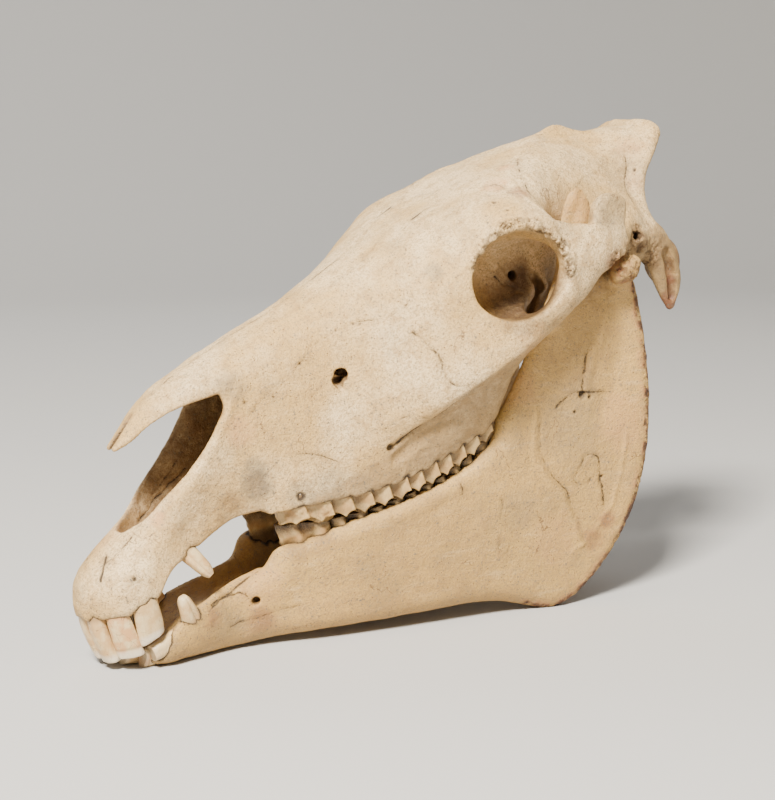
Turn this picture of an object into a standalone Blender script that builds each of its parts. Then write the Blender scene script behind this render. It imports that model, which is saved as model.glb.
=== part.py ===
"""Zebra skull: cranium and mandible with their teeth, lying closed on a floor.

The bone is described in millimetres in the skull's own frame: X runs back from the
front of the upper jaw, Y is sideways (the animal's left is at -Y) and Z rises from
the line of the upper cheek tooth sockets. At the end the skull is pitched nose down,
scaled to metres and set on the floor.
"""
import math

import bmesh
import bpy
import numpy as np
from mathutils import Matrix

MM = 0.001
# Spacing of the grid of distances that the bone is meshed from.
GRID_STEP = 1.5
# A distance that counts as far away.
FAR = 60.0
# Depth that the contact points with the floor are trimmed by.
FLAT_DEPTH = 0.7
# Where the chin ends along X.
CHIN_END = 150
# Depth that a filled grid point is set below the surface.
PINCH_FILL = 0.3
# Points closer than this count as one.
MERGE = 0.01
# Cheek teeth: where the rows start along X, how wide the teeth are, how far the lower row
# lies inside the upper one, how far the roots sink in and how much the end teeth are narrowed.
UPPER_ROW_START = 125
LOWER_ROW_START = 123.5
UPPER_TOOTH_WIDTH = 22
LOWER_TOOTH_WIDTH = 15
LOWER_ROW_INSET = 5
ROOT_DEPTH = 9
END_TOOTH_PART = 0.86
# Lengths of the six cheek teeth from front to back, and the gaps between and above them.
CHEEK_LENGTHS = (31, 25.5, 24.5, 22, 21.5, 24)
TOOTH_GAP = 0.4
WEAR_GAP = 0.4
# Upright lobe at the back of the zygomatic arch: distance from the midline and half thickness.
LOBE_MIDDLE = 84.5
LOBE_HALF = 5.5
# Coronoid blade of the lower jaw: half thickness and lean towards the midline.
BLADE_HALF = 2.8
BLADE_LEAN = 0.1
# Thicker rim along the angle of the lower jaw.
RIM_SWELL = 3.5
RIM_WIDTH = 8
CRANIUM_TRIANGLES = 9000
MANDIBLE_TRIANGLES = 4600
CRANIUM_COLOUR = (0.8, 0.72, 0.58)
MANDIBLE_COLOUR = (0.78, 0.7, 0.56)
BONE_ROUGHNESS = 0.6

# Lines that run along the front of the upper jaw, each through (x, y, z) knots.
MUZZLE_LINES = {
    "midline": ((-5, 0, 7), (0, 0, 16), (8, 0, 23), (20, 0, 29), (35, 0, 35), (50, 0, 42), (66, 0, 52),
                (83, 0, 64), (100, 0, 74), (115, 0, 84), (128, 0, 92)),
    "upper edge": ((-5, 4, 6), (0, 9, 14), (8, 14, 20), (20, 17, 25), (35, 16, 31.5), (50, 16, 38),
                   (66, 21, 46.5), (83, 24, 55), (100, 25.5, 65.5), (115, 26, 78), (128, 25, 90)),
    "shoulder": ((-5, 7, 3), (0, 13, 8), (8, 20, 12), (20, 26, 16), (35, 27, 20), (50, 24.5, 28),
                 (66, 25, 38), (83, 27, 47), (100, 28, 58), (115, 28.5, 71), (128, 28, 80)),
    "side": ((-5, 8.5, 0), (0, 14, 2), (8, 22.5, 3), (20, 29, 5), (35, 30, 8), (50, 26, 13),
             (66, 22.5, 22), (83, 24, 32), (100, 26.5, 40), (115, 28.5, 42), (128, 30, 42)),
    "gum": ((-5, 8, -3), (0, 13, -3), (8, 21.5, -5), (20, 28, -4), (35, 29.5, -2), (42, 28.5, 3),
            (50, 25.5, 7), (66, 21.5, 9), (83, 21, 14), (100, 23, 17.5), (115, 28, 17), (128, 31, 12)),
    "palate edge": ((-5, 5, -3), (0, 8, -3), (8, 14, -4), (20, 20, -3), (35, 22, -1), (50, 18, 6),
                    (66, 15, 8), (83, 16, 12), (100, 19, 14), (115, 23, 12), (128, 24, 6)),
    "palate": ((-5, 0, -1), (0, 0, -2), (8, 0, 1), (20, 0, 5), (35, 0, 7), (50, 0, 9), (66, 0, 11),
               (83, 0, 13), (100, 0, 14), (115, 0, 13), (128, 0, 12)),
}

# Lines that run along the face from the nasal notch to the orbits.
FACE_LINES = {
    "midline": ((118, 0, 108), (145, 0, 112), (192, 0, 117), (229, 0, 124), (277, 0, 131.5), (317, 0, 136),
                (340, 0, 137), (356, 0, 137)),
    "nasal crest": ((118, 12, 106), (145, 14, 109.5), (192, 17, 113), (229, 20, 120), (277, 26, 131),
                    (317, 34, 136), (340, 38, 137), (356, 36, 136)),
    "nasal edge": ((118, 21, 99), (145, 24, 102), (192, 29, 104), (229, 36, 111), (277, 50, 125.5),
                   (317, 62, 132), (340, 63, 129), (356, 48, 130)),
    "shoulder": ((118, 26, 90), (145, 30, 91), (192, 36, 92), (229, 46, 99), (277, 67, 114), (317, 84, 121),
                 (340, 83, 117), (356, 54, 120)),
    "upper cheek": ((118, 27.5, 76), (145, 33, 76), (192, 40, 78), (229, 54, 84), (277, 77, 97),
                    (317, 88, 104), (340, 90, 105), (356, 56, 106)),
    "cheek": ((118, 28.5, 55), (145, 36, 54), (192, 44, 60), (229, 62, 65), (277, 80, 73), (317, 90, 80),
              (340, 93, 90), (356, 72, 92)),
    "above the crest": ((118, 29, 35), (145, 37.5, 32), (192, 49, 39), (229, 68, 46), (277, 86, 53),
                        (317, 92, 62), (340, 95, 72), (356, 78, 78)),
    "facial crest": ((118, 30, 20), (145, 39, 16), (192, 51, 24), (229, 69, 31), (277, 86.5, 41),
                     (317, 91, 52), (340, 93, 62), (356, 76, 66)),
    "below the crest": ((118, 31, 11), (145, 39.5, 9), (192, 50.5, 11), (229, 61, 18), (277, 77, 33),
                        (317, 84, 45), (340, 86, 57), (356, 72, 62)),
    "socket edge": ((118, 30, 9), (145, 39.5, 4), (175, 46, -3), (200, 50.5, -7), (225, 53.5, -7),
                    (250, 55.5, -5), (277, 57, 1), (300, 55, 24), (317, 62, 44), (356, 62, 60)),
    "palate edge": ((118, 25, 10), (145, 33, 2), (192, 42, -3), (229, 46, -4), (277, 48, 2), (300, 44, 24),
                    (317, 50, 44), (356, 50, 58)),
    "palate": ((118, 16, 11), (145, 18, 6), (192, 21, 4), (229, 23, 4), (277, 24, 8), (300, 26, 24),
               (317, 30, 42), (356, 30, 52)),
    "palate midline": ((118, 0, 12), (145, 0, 13), (192, 0, 14), (229, 0, 14), (277, 0, 18), (317, 0, 32),
                       (356, 0, 44)),
}

# Lines that run along the braincase from between the orbits to the nuchal crest.
BRAINCASE_LINES = {
    "sagittal crest": ((290, 0, 124), (320, 0, 134), (350, 0, 139.5), (410, 0, 142), (430, 0, 141.5),
                       (449, 0, 129.5), (468, 0, 125.5), (489, 0, 120)),
    "temporal line": ((290, 24, 124), (320, 32, 133), (350, 40, 137.5), (376, 32, 138), (410, 10, 138),
                      (430, 5, 134), (449, 8, 127), (468, 14, 123), (486, 15, 120)),
    "upper wall": ((290, 38, 118), (320, 44, 125), (350, 59, 126), (376, 47, 126), (410, 31, 124),
                   (430, 23, 119), (449, 22, 112), (468, 27, 114), (486, 26, 117)),
    "wall": ((290, 44, 106), (350, 71, 110), (362, 63, 110), (376, 55, 110), (410, 44, 106), (430, 38, 101),
             (449, 34, 92), (456, 34, 92), (468, 31, 101), (488, 27, 112)),
    "widest": ((290, 38, 90), (350, 66, 94), (362, 60, 94), (378, 54, 91), (410, 52, 86), (430, 50, 80),
               (446, 43, 74), (454, 33, 78), (467, 20, 92), (488, 20, 108)),
    "lower wall": ((290, 30, 66), (350, 42, 72), (378, 46, 70), (410, 51, 64), (430, 50, 60), (446, 45, 54),
                   (455, 34, 58), (470, 15, 74), (486, 16, 106)),
    "base edge": ((290, 26, 46), (350, 30, 54), (378, 33, 52), (410, 37, 48), (430, 35, 44), (449, 32, 40),
                  (458, 28, 42), (470, 13, 52), (486, 10, 104)),
    "base": ((290, 14, 34), (350, 13, 44), (410, 14, 43), (430, 13, 40), (449, 12, 36), (458, 14, 37),
             (470, 10, 42), (486, 5, 103)),
    "base midline": ((290, 0, 32), (350, 0, 43), (410, 0, 42), (430, 0, 39), (449, 0, 35), (458, 0, 35),
                     (470, 0, 40), (486, 0, 103)),
}

# Lines that run back along the free tip of the nasal bones.
NASAL_TIP = {
    "top": ((50, 0, 84), (60, 0, 89.5), (72, 0, 96.5), (89, 0, 103), (110, 0, 107), (130, 0, 110)),
    "upper edge": ((50, 4, 83.8), (60, 6, 88.5), (72, 9, 95), (89, 12, 101), (110, 14, 104.5),
                   (130, 15, 107)),
    "side": ((50, 5.5, 82.8), (60, 9, 86), (72, 12.5, 91), (89, 17.5, 96), (110, 22.5, 98.5),
             (130, 24.5, 99)),
    "lower edge": ((50, 5, 81.6), (60, 9, 83.5), (72, 13, 88.5), (89, 18.5, 92), (110, 24.5, 92),
                   (130, 27, 90)),
    "inner edge": ((50, 2.5, 80.8), (60, 6.5, 83.5), (72, 10.5, 88.5), (89, 15.5, 92), (110, 20.5, 92),
                   (130, 23, 90)),
    "inner side": ((50, 1.5, 80.8), (60, 4.5, 84.5), (72, 7, 90.5), (89, 10, 95.5), (110, 12, 99.5),
                   (130, 13, 102)),
    "roof": ((50, 0, 80.8), (60, 0, 85), (72, 0, 92), (89, 0, 98), (110, 0, 102), (130, 0, 105)),
}

# Lines that run back through the nasal cavity.
NASAL_CAVITY = {
    "top": ((37, 0, 56), (60, 0, 75), (80, 0, 88), (100, 0, 96), (121, 0, 102), (150, 0, 105), (200, 0, 107),
            (240, 0, 107)),
    "upper side": ((37, 3, 54), (60, 9, 70), (80, 14, 84), (100, 16, 93), (121, 15, 98), (150, 16, 100),
                   (200, 18, 101), (240, 10, 101)),
    "side": ((37, 5, 46), (46, 10, 47), (60, 15, 56), (80, 20.5, 68), (100, 23, 84), (121, 22, 88),
             (150, 24, 86), (200, 28, 83), (240, 14, 84)),
    "lower side": ((37, 4.5, 37), (46, 10, 38), (60, 15, 41), (80, 20, 47), (100, 22, 52), (121, 24, 56),
                   (150, 27, 57), (200, 30, 57), (240, 16, 62)),
    "floor edge": ((37, 3, 33), (46, 7, 29), (60, 10, 25), (80, 14, 24), (100, 16, 24), (121, 18, 24),
                   (150, 20, 24), (200, 21, 25), (240, 12, 34)),
    "floor": ((37, 0, 33), (46, 0, 29), (60, 0, 28), (80, 0, 27), (100, 0, 27), (121, 0, 27), (150, 0, 27),
              (200, 0, 28), (240, 0, 36)),
}


def line_at(knots, x):
    """Smooth curve through knots of (x, y, z), read at the places x."""
    knots = np.array(knots, float)
    kx = knots[:, 0]
    step = np.diff(kx)
    slope = np.diff(knots[:, 1:], axis=0) / step[:, None]
    tangent = np.empty((len(kx), 2))
    tangent[0] = slope[0]
    tangent[-1] = slope[-1]
    weight = (step[1:] / (step[1:] + step[:-1]))[:, None]
    tangent[1:-1] = slope[:-1] * weight + slope[1:] * (1 - weight)
    span = np.clip(np.searchsorted(kx, x, side="right") - 1, 0, len(kx) - 2)
    width = step[span]
    t = np.clip((x - kx[span]) / width, 0, 1)[:, None]
    width = width[:, None]
    p0 = knots[span, 1:]
    p1 = knots[span + 1, 1:]
    m0 = tangent[span] * width
    m1 = tangent[span + 1] * width
    return ((2 * t ** 3 - 3 * t ** 2 + 1) * p0 + (t ** 3 - 2 * t ** 2 + t) * m0
            + (3 * t ** 2 - 2 * t ** 3) * p1 + (t ** 3 - t ** 2) * m1)


def through(points, per_span=6):
    """Smooth open curve through points of any size, as a dense list of points."""
    points = np.array(points, float)
    ends = np.vstack([2 * points[0] - points[1], points, 2 * points[-1] - points[-2]])
    t = np.linspace(0, 1, per_span, endpoint=False)[:, None]
    runs = []
    for a, b, c, d in zip(ends[:-3], ends[1:-2], ends[2:-1], ends[3:]):
        runs.append(0.5 * (2 * b + (c - a) * t + (2 * a - 5 * b + 4 * c - d) * t ** 2
                           + (3 * b - a - 3 * c + d) * t ** 3))
    runs.append(points[-1:])
    return np.vstack(runs)


def polygon_distance(py, pz, outline):
    """Signed distance of the points (py, pz) to a closed outline, negative inside."""
    nearest = np.full(py.shape, 1e9, np.float32)
    winding = np.zeros(py.shape, bool)
    for (ay, az), (by, bz) in zip(outline, np.roll(outline, -1, axis=0)):
        ey, ez = by - ay, bz - az
        length = ey * ey + ez * ez
        if length < 1e-9:
            continue
        wy, wz = py - ay, pz - az
        t = np.clip((wy * ey + wz * ez) / length, 0, 1)
        nearest = np.minimum(nearest, (wy - t * ey) ** 2 + (wz - t * ez) ** 2)
        if abs(ez) > 1e-9:
            winding ^= ((az > pz) != (bz > pz)) & (wy < ey * wz / ez)
    nearest = np.sqrt(nearest)
    return np.where(winding, -nearest, nearest)


def soft_min(a, b, radius):
    """Union of two bodies of distances, rounded where they meet."""
    if radius <= 0:
        return np.minimum(a, b)
    h = np.maximum(radius - np.abs(a - b), 0) / radius
    return np.minimum(a, b) - h * h * radius / 4


def soft_max(a, b, radius):
    """What two bodies of distances share, rounded where they meet."""
    return -soft_min(-a, -b, radius)


def loft(lines):
    """Body whose half section at each x passes through the lines from top to bottom."""
    every = np.vstack([np.array(line, float) for line in lines.values()])
    low = np.array([every[:, 0].min(), 0, every[:, 2].min()])
    high = np.array([every[:, 0].max(), every[:, 1].max(), every[:, 2].max()])

    def distance(x, y, z):
        xs = x.ravel()
        half = np.stack([line_at(line, xs) for line in lines.values()], axis=1)
        py, pz = np.broadcast_arrays(y[0].astype(np.float32), z[0].astype(np.float32))
        out = np.empty((len(xs),) + py.shape, np.float32)
        for i, section in enumerate(half):
            whole = np.vstack([section, (section[1:-1] * (-1, 1))[::-1]])
            closed = np.vstack([whole[-2:], whole, whole[:2]])
            ring = through(closed, 3)[6:-7]
            out[i] = polygon_distance(py, pz, ring)
        ends = np.maximum(low[0] - x, x - high[0])
        return soft_max(out, np.broadcast_to(ends, out.shape).astype(np.float32), 2.0)
    return low, high, distance


def ball(centre, radii, tilt=0.0):
    """Ellipsoid, tilted by an angle about Y."""
    centre = np.array(centre, float)
    radii = np.array(radii, float)
    reach = np.array([max(radii[0], radii[2]), radii[1], max(radii[0], radii[2])])
    c, s = math.cos(math.radians(tilt)), math.sin(math.radians(tilt))

    def distance(x, y, z):
        dx, dy, dz = x - centre[0], y - centre[1], z - centre[2]
        u, w = dx * c + dz * s, dz * c - dx * s
        k0 = np.sqrt((u / radii[0]) ** 2 + (dy / radii[1]) ** 2 + (w / radii[2]) ** 2)
        k1 = np.sqrt((u / radii[0] ** 2) ** 2 + (dy / radii[1] ** 2) ** 2 + (w / radii[2] ** 2) ** 2)
        return k0 * (k0 - 1) / np.maximum(k1, 1e-6)
    return centre - reach, centre + reach, distance


def rod(points, radii, squash=(1, 1, 1)):
    """Round bar through the points, with a radius at each, thinned along an axis by squash."""
    squash = np.array(squash, float)
    path = through(np.column_stack([np.array(points, float), radii]), 5)
    low = (path[:, :3] - path[:, 3:] * squash).min(axis=0)
    high = (path[:, :3] + path[:, 3:] * squash).max(axis=0)
    scaled = path[:, :3] / squash

    def distance(x, y, z):
        x, y, z = x / squash[0], y / squash[1], z / squash[2]
        shape = np.broadcast_shapes(x.shape, y.shape, z.shape)
        out = np.full(shape, 1e9, np.float32)
        for a, b, ra, rb in zip(scaled[:-1], scaled[1:], path[:-1, 3], path[1:, 3]):
            e = b - a
            t = ((x - a[0]) * e[0] + (y - a[1]) * e[1] + (z - a[2]) * e[2]) / max(e @ e, 1e-9)
            t = np.clip(t, 0, 1)
            gap = np.sqrt((x - a[0] - t * e[0]) ** 2 + (y - a[1] - t * e[1]) ** 2
                          + (z - a[2] - t * e[2]) ** 2) - (ra + t * (rb - ra))
            out = np.minimum(out, gap)
        return out * squash.min()
    return low, high, distance


def plate(outline, middle, thickness, roundness=1.0):
    """Upright plate: an outline in X and Z, with its middle Y and half thickness as functions."""
    outline = np.array(outline, float)
    closed = np.vstack([outline[-2:], outline, outline[:2]])
    ring = through(closed, 4)[8:-9]
    low = np.array([ring[:, 0].min(), 0, ring[:, 1].min()])
    high = np.array([ring[:, 0].max(), 100, ring[:, 1].max()])

    def distance(x, y, z):
        px, pz = np.broadcast_arrays(x[:, 0, :].astype(np.float32), z[0].astype(np.float32))
        flat = polygon_distance(px, pz, ring)
        mid = middle(px, pz)
        half = thickness(px, pz, flat)
        across = np.abs(y - mid[:, None, :]) - half[:, None, :]
        edge = np.broadcast_to(flat[:, None, :], across.shape)
        return soft_max(across, edge, 2.0 * roundness * float(half.mean()))
    return low, high, distance


def level(value):
    """The same value all over, for the middle or the thickness of a plate."""
    return lambda x, z, inside=None: np.full(x.shape, value, np.float32)


class Bone:
    """Right half of a bone on a grid of distances, mirrored when it is meshed."""

    def __init__(self, low, high, step):
        self.step = step
        self.axes = [low[i] + step * np.arange(int((high[i] - low[i]) / step) + 2) for i in range(3)]
        self.field = np.full([len(axis) for axis in self.axes], FAR, np.float32)

    def window(self, low, high, margin):
        """Part of the grid round a shape, as slices and as the places along each axis."""
        cuts = []
        for axis, a, b in zip(self.axes, low, high):
            first = max(int(np.searchsorted(axis, a - margin)) - 1, 0)
            last = min(int(np.searchsorted(axis, b + margin)) + 1, len(axis))
            cuts.append(slice(first, last))
        x, y, z = (axis[cut] for axis, cut in zip(self.axes, cuts))
        return tuple(cuts), (x[:, None, None], y[None, :, None], z[None, None, :])

    def add(self, shape, radius=4.0):
        low, high, distance = shape
        cuts, places = self.window(low, high, radius + 2 * self.step)
        self.field[cuts] = soft_min(self.field[cuts], distance(*places), radius)

    def cut(self, shape, radius=2.0):
        low, high, distance = shape
        cuts, places = self.window(low, high, radius + 2 * self.step)
        self.field[cuts] = soft_max(self.field[cuts], -distance(*places), radius)

    def mesh(self, name):
        whole = np.concatenate([self.field[:, :0:-1], self.field], axis=1)
        close_pinches(whole)
        axes = [self.axes[0], np.concatenate([-self.axes[1][:0:-1], self.axes[1]]), self.axes[2]]
        return surface_net(name, whole, axes)


def close_pinches(field):
    """Fill grid squares whose corners alternate, where the surface would touch itself."""
    while True:
        found = 0
        for u, v in ((0, 1), (0, 2), (1, 2)):
            near = [slice(0, -1) if axis in (u, v) else slice(None) for axis in range(3)]
            views = []
            for du, dv in ((0, 0), (1, 0), (1, 1), (0, 1)):
                view = list(near)
                view[u] = slice(du, field.shape[u] - 1 + du)
                view[v] = slice(dv, field.shape[v] - 1 + dv)
                views.append(field[tuple(view)])
            inside = [view < 0 for view in views]
            pinched = (inside[0] == inside[2]) & (inside[1] == inside[3]) & (inside[0] != inside[1])
            found += int(pinched.sum())
            for view in views:
                view[pinched & (view >= 0)] = -PINCH_FILL
        if not found:
            return


def surface_net(name, field, axes):
    """Mesh of the surface where the field is zero: one vertex a cell that it crosses."""
    inside = field < 0
    corners = [(i, j, k) for i in (0, 1) for j in (0, 1) for k in (0, 1)]
    size = [n - 1 for n in field.shape]
    count = np.zeros(size, np.int8)
    for i, j, k in corners:
        count += inside[i:i + size[0], j:j + size[1], k:k + size[2]]
    active = (count > 0) & (count < 8)
    cells = np.argwhere(active)
    number = np.full(size, -1, np.int64)
    number[active] = np.arange(len(cells))
    total = np.zeros((len(cells), 3))
    hits = np.zeros(len(cells))
    for axis in range(3):
        for corner in corners:
            if corner[axis]:
                continue
            a = cells + corner
            b = a.copy()
            b[:, axis] += 1
            va = field[tuple(a.T)].astype(float)
            vb = field[tuple(b.T)].astype(float)
            crossed = (va < 0) != (vb < 0)
            place = np.array(corner, float) + np.zeros((len(cells), 3))
            place[:, axis] += va / np.where(crossed, va - vb, 1)
            total += place * crossed[:, None]
            hits += crossed
    step = axes[0][1] - axes[0][0]
    origin = np.array([axis[0] for axis in axes])
    points = origin + step * (cells + total / hits[:, None])
    faces = []
    for axis in range(3):
        u, v = (axis + 1) % 3, (axis + 2) % 3
        lower = [slice(None)] * 3
        upper = [slice(None)] * 3
        lower[axis] = slice(0, -1)
        upper[axis] = slice(1, None)
        first = inside[tuple(lower)]
        change = first != inside[tuple(upper)]
        edges = np.argwhere(change)
        keep = (edges[:, u] > 0) & (edges[:, v] > 0) & (edges[:, u] < size[u]) & (edges[:, v] < size[v])
        edges = edges[keep]
        outward = first[tuple(edges.T)]
        ring = []
        for du, dv in ((-1, -1), (0, -1), (0, 0), (-1, 0)):
            cell = edges.copy()
            cell[:, u] += du
            cell[:, v] += dv
            ring.append(number[tuple(cell.T)])
        quads = np.stack(ring, axis=1)
        quads[~outward] = quads[~outward][:, ::-1]
        faces.append(quads)
    faces = np.vstack(faces)
    mesh = bpy.data.meshes.new(name)
    mesh.from_pydata(points.tolist(), [], faces.tolist())
    return mesh


# Lines that run along the fused front of the lower jaw.
CHIN_LINES = {
    "midline": ((15, 0, -37), (25, 0, -34), (40, 0, -31), (60, 0, -31), (85, 0, -37), (104, 0, -50)),
    "floor edge": ((15, 8, -37), (25, 15, -33), (40, 15, -29), (60, 11, -28), (85, 9, -32), (104, 11, -44)),
    "crest": ((15, 14, -37), (25, 23, -33), (40, 25, -26), (58, 22, -23.5), (85, 16, -23), (104, 16, -25)),
    "side": ((15, 17, -39), (25, 26.5, -37), (40, 28, -34), (58, 25.5, -34), (85, 20, -36), (104, 21, -40)),
    "lower side": ((15, 15, -42), (25, 24, -43), (40, 25, -45), (60, 22, -49), (85, 20.5, -54),
                   (104, 21, -56)),
    "lower edge": ((15, 8, -43), (25, 15, -46.5), (40, 16, -51), (60, 15, -57.5), (85, 14, -65),
                   (104, 15, -66)),
    "lower midline": ((15, 0, -43), (25, 0, -46), (40, 0, -50), (60, 0, -56), (85, 0, -60), (104, 0, -54)),
}

# Side outline of one half of the lower jaw: diastema and sockets, coronoid, condyle, angle, lower border.
JAW_OUTLINE = (
    (76, -32), (90, -25), (106, -22.5), (119, -15), (140, -19), (175, -20), (210, -23), (245, -22.5),
    (262, -17.5), (275, -11), (280, -2), (288, 5), (300, 16), (316, 34), (341, 68), (357, 97), (367, 112),
    (378, 120), (388, 119), (393, 111), (392, 94), (385, 77), (387, 64), (398, 59),
    (402, 44), (400, 22), (395, -11), (385, -49), (370, -81), (351, -107), (326, -128), (300, -140),
    (278, -141), (260, -131), (243, -119), (217, -108), (173, -94), (135, -81), (101, -71), (84, -64),
    (76, -56),
)

# Ridge of the lower jaw that holds the cheek teeth, as a bar through (x, y, z), and its radii.
LOWER_RIDGE = (
    (124, 25.5, -25), (150, 32.5, -25), (175, 38.5, -26.5), (200, 43, -28.5), (225, 46, -29),
    (250, 48, -27.5), (268, 50.5, -22.5),
)
LOWER_RIDGE_RADII = (5.5, 6.5, 6.5, 6.5, 6.5, 6.5, 5.5)

# Jaw plate along x: (x, distance of its middle from the midline, half thickness).
JAW_PLATE = (
    (76, 15, 6), (90, 16, 7), (104, 19.5, 8), (121, 24, 10), (160, 31, 12), (200, 37, 12.5),
    (240, 43, 11.5), (275, 50, 8.5), (305, 55, 5.5), (345, 63, 4.4), (400, 72, 5),
)

# Outline of the upright lobe at the back of the zygomatic arch, as (x, z).
LOBE_OUTLINE = (
    (362, 73), (365, 84), (369, 95), (374, 105), (383, 110), (393, 108), (399, 103), (399, 96), (394, 86),
    (390, 74), (379, 71),
)

# Cheek teeth: (x, height) along the edges of the sockets and the shared wear surface.
UPPER_SOCKETS = (
    (120, 9), (125, 7), (150, 3), (175, -3), (200, -7), (225, -7), (250, -5), (277, 1), (285, 4),
)
WEAR_SURFACE = (
    (120, -2), (125, -3), (150, -11), (175, -17), (200, -19.5), (225, -20), (250, -17), (277, -9), (285, -6),
)
LOWER_SOCKETS = (
    (115, -15), (135, -19.5), (150, -19), (175, -20.5), (200, -22.5), (225, -23), (250, -21.5), (272, -14),
    (285, -9),
)
ROW_WIDTH = (
    (120, 31), (125, 33), (150, 39.5), (175, 45), (200, 50), (225, 53), (250, 55), (277, 56.5), (285, 57),
)


def cranium_bone(step):
    """Cranium: muzzle, face, braincase, arch and occiput, with its openings."""
    bone = Bone((-12, 0, -16), (508, 104, 152), step)
    bone.add(loft(MUZZLE_LINES), 0)
    bone.add(loft(FACE_LINES), 3)
    bone.add(loft(BRAINCASE_LINES), 6)
    add_arch(bone)
    add_occiput(bone)
    # wall of the palatine and pterygoid bones beside the inner nostrils
    bone.add(rod(((262, 22, 16), (282, 23, 20), (302, 21, 20), (318, 20, 30)), (6, 7, 6, 5),
                 (1, 0.45, 1)), 4)
    cut_orbit(bone)
    # wall of the orbit towards the base of the braincase, and the inner nostrils
    bone.add(rod(((294, 36, 40), (318, 31, 42), (350, 27, 46), (388, 27, 48)), (9, 12, 11, 8)), 6)
    bone.cut(rod(((250, 0, 14), (280, 0, 22), (310, 0, 28), (335, 0, 30)), (10, 16, 16, 8)), 3)
    # canal of the spinal cord
    bone.cut(rod(((505, 0, 47), (455, 0, 51)), (15, 13)), 3)
    add_nose(bone)
    # opening of the infraorbital canal
    bone.cut(rod(((184, 52, 70), (192, 38, 70), (200, 30, 70)), (3.5, 4, 3)), 1)
    return bone


def add_arch(bone):
    """Zygomatic arch behind the orbit, its upright lobe and its root on the braincase."""
    bone.add(rod(((322, 87, 60), (340, 89, 72), (358, 90, 80), (372, 89, 79), (381, 86, 80)),
                 (9, 17, 16, 13, 9), (1, 0.4, 1)), 4)
    bone.add(rod(((334, 86, 107), (348, 87, 96), (362, 88, 84)), (8, 9.5, 12), (1, 0.55, 1)), 5)
    bone.add(plate(LOBE_OUTLINE, level(LOBE_MIDDLE), level(LOBE_HALF), 0.4), 4)
    bone.add(rod(((384, 81, 78), (397, 70, 74), (412, 57, 70), (428, 44, 70)), (7, 6.5, 7, 9)), 9)
    bone.add(rod(((384, 82, 77), (394, 70, 73.5), (410, 52, 64)), (6.5, 6.5, 9)), 5)


def add_occiput(bone):
    """Nuchal crest down to the ear, occipital condyles, paracondylar processes and the ear."""
    bone.add(rod(((487, 0, 117.5), (489, 14, 116.5), (488, 25, 114), (476, 32, 106), (460, 35, 94),
                  (451.5, 38, 80), (448, 41, 66), (445, 44, 54)), (5, 5, 4.5, 4, 4, 4, 5, 6)), 7)
    bone.add(ball((469, 21.5, 26), (13, 12, 17), -15), 5)
    bone.add(rod(((445, 45, 50), (450, 44, 36), (452.5, 42, 20), (450, 41, 3)), (14, 13, 11.5, 4.5),
                 (1, 0.42, 1)), 5)
    bone.add(ball((428, 47, 57), (11, 9, 12)), 5)
    bone.add(rod(((425, 36, 46), (418, 26, 36)), (10, 6)), 4)


def cut_orbit(bone):
    """Orbit, the space below the arch that the coronoid passes, and the temporal fossa."""
    bone.cut(ball((307.5, 88, 88), (31.5, 46, 27), 4), 3)
    bone.cut(rod(((312, 70, 82), (330, 60, 80), (352, 66, 82)), (23, 21, 18)), 6)
    bone.cut(ball((314, 66, 80), (26, 26, 24)), 3)
    bone.cut(rod(((330, 64, 22), (338, 64, 44), (352, 64, 62), (363, 66, 80)), (20, 20, 19, 18)), 6)
    bone.cut(rod(((380, 67, 60), (380, 68, 104), (386, 67, 150)), (25, 23, 24), (1, 0.55, 1)), 6)
    bone.cut(rod(((361, 71, 70), (364, 72, 104), (370, 74, 150)), (14, 11, 11), (1, 0.8, 1)), 5)


def add_nose(bone):
    """Nasal cavity, the free tip of the nasal bones and the notch between its points."""
    bone.cut(loft(NASAL_CAVITY), 2)
    bone.add(loft(NASAL_TIP), 2)
    bone.cut(rod(((44, 0, 82), (56, 0, 86.5), (71, 0, 96)), (2.3, 1.7, 0.9), (1, 1, 3)), 1)


def jaw_middle(x, z):
    """Distance of the middle of the jaw plate from the midline, which leans in at the top and bottom."""
    along = line_at(JAW_PLATE, x.ravel())[:, 0].reshape(x.shape)
    blade = BLADE_LEAN * np.maximum(z - 62, 0)
    border = 0.04 * np.maximum(-60 - z, 0) * np.clip((280 - x) / 60, 0, 1)
    return along - blade - border


def jaw_thickness(x, z, inside):
    """Half thickness of the jaw plate, with a thicker rim along the angle."""
    along = line_at(JAW_PLATE, x.ravel())[:, 1].reshape(x.shape)
    rim = RIM_SWELL * np.exp(np.minimum(inside, 0) / RIM_WIDTH)
    rim = rim * np.clip((x - 240) / 60, 0, 1) * np.clip((60 - z) / 30, 0, 1)
    blade = np.clip((z - 55) / 20, 0, 1)
    return (along + rim) * (1 - blade) + BLADE_HALF * blade


def mandible_bone(step):
    """Lower jaw: fused front, two plates with coronoid blades, condyles and mental foramina."""
    bone = Bone((4, 0, -146), (410, 104, 120), step)
    bone.add(loft(CHIN_LINES), 0)
    bone.add(plate(JAW_OUTLINE, jaw_middle, jaw_thickness), 6)
    bone.add(rod(LOWER_RIDGE, LOWER_RIDGE_RADII), 4)
    # condyle and its neck
    bone.add(rod(((394, 52, 56), (394, 62, 58), (392, 74, 58)), (5, 6.5, 6.5)), 3)
    bone.add(ball((388, 83, 57), (12.5, 8, 8.5), 10), 4)
    bone.add(rod(((392, 58, 50), (390, 68, 42), (388, 76, 50)), (5, 7, 5)), 6)
    # mental foramen
    bone.cut(rod(((88, 28, -39), (96, 20, -39)), (2.5, 2.5)), 1)
    return bone


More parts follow.
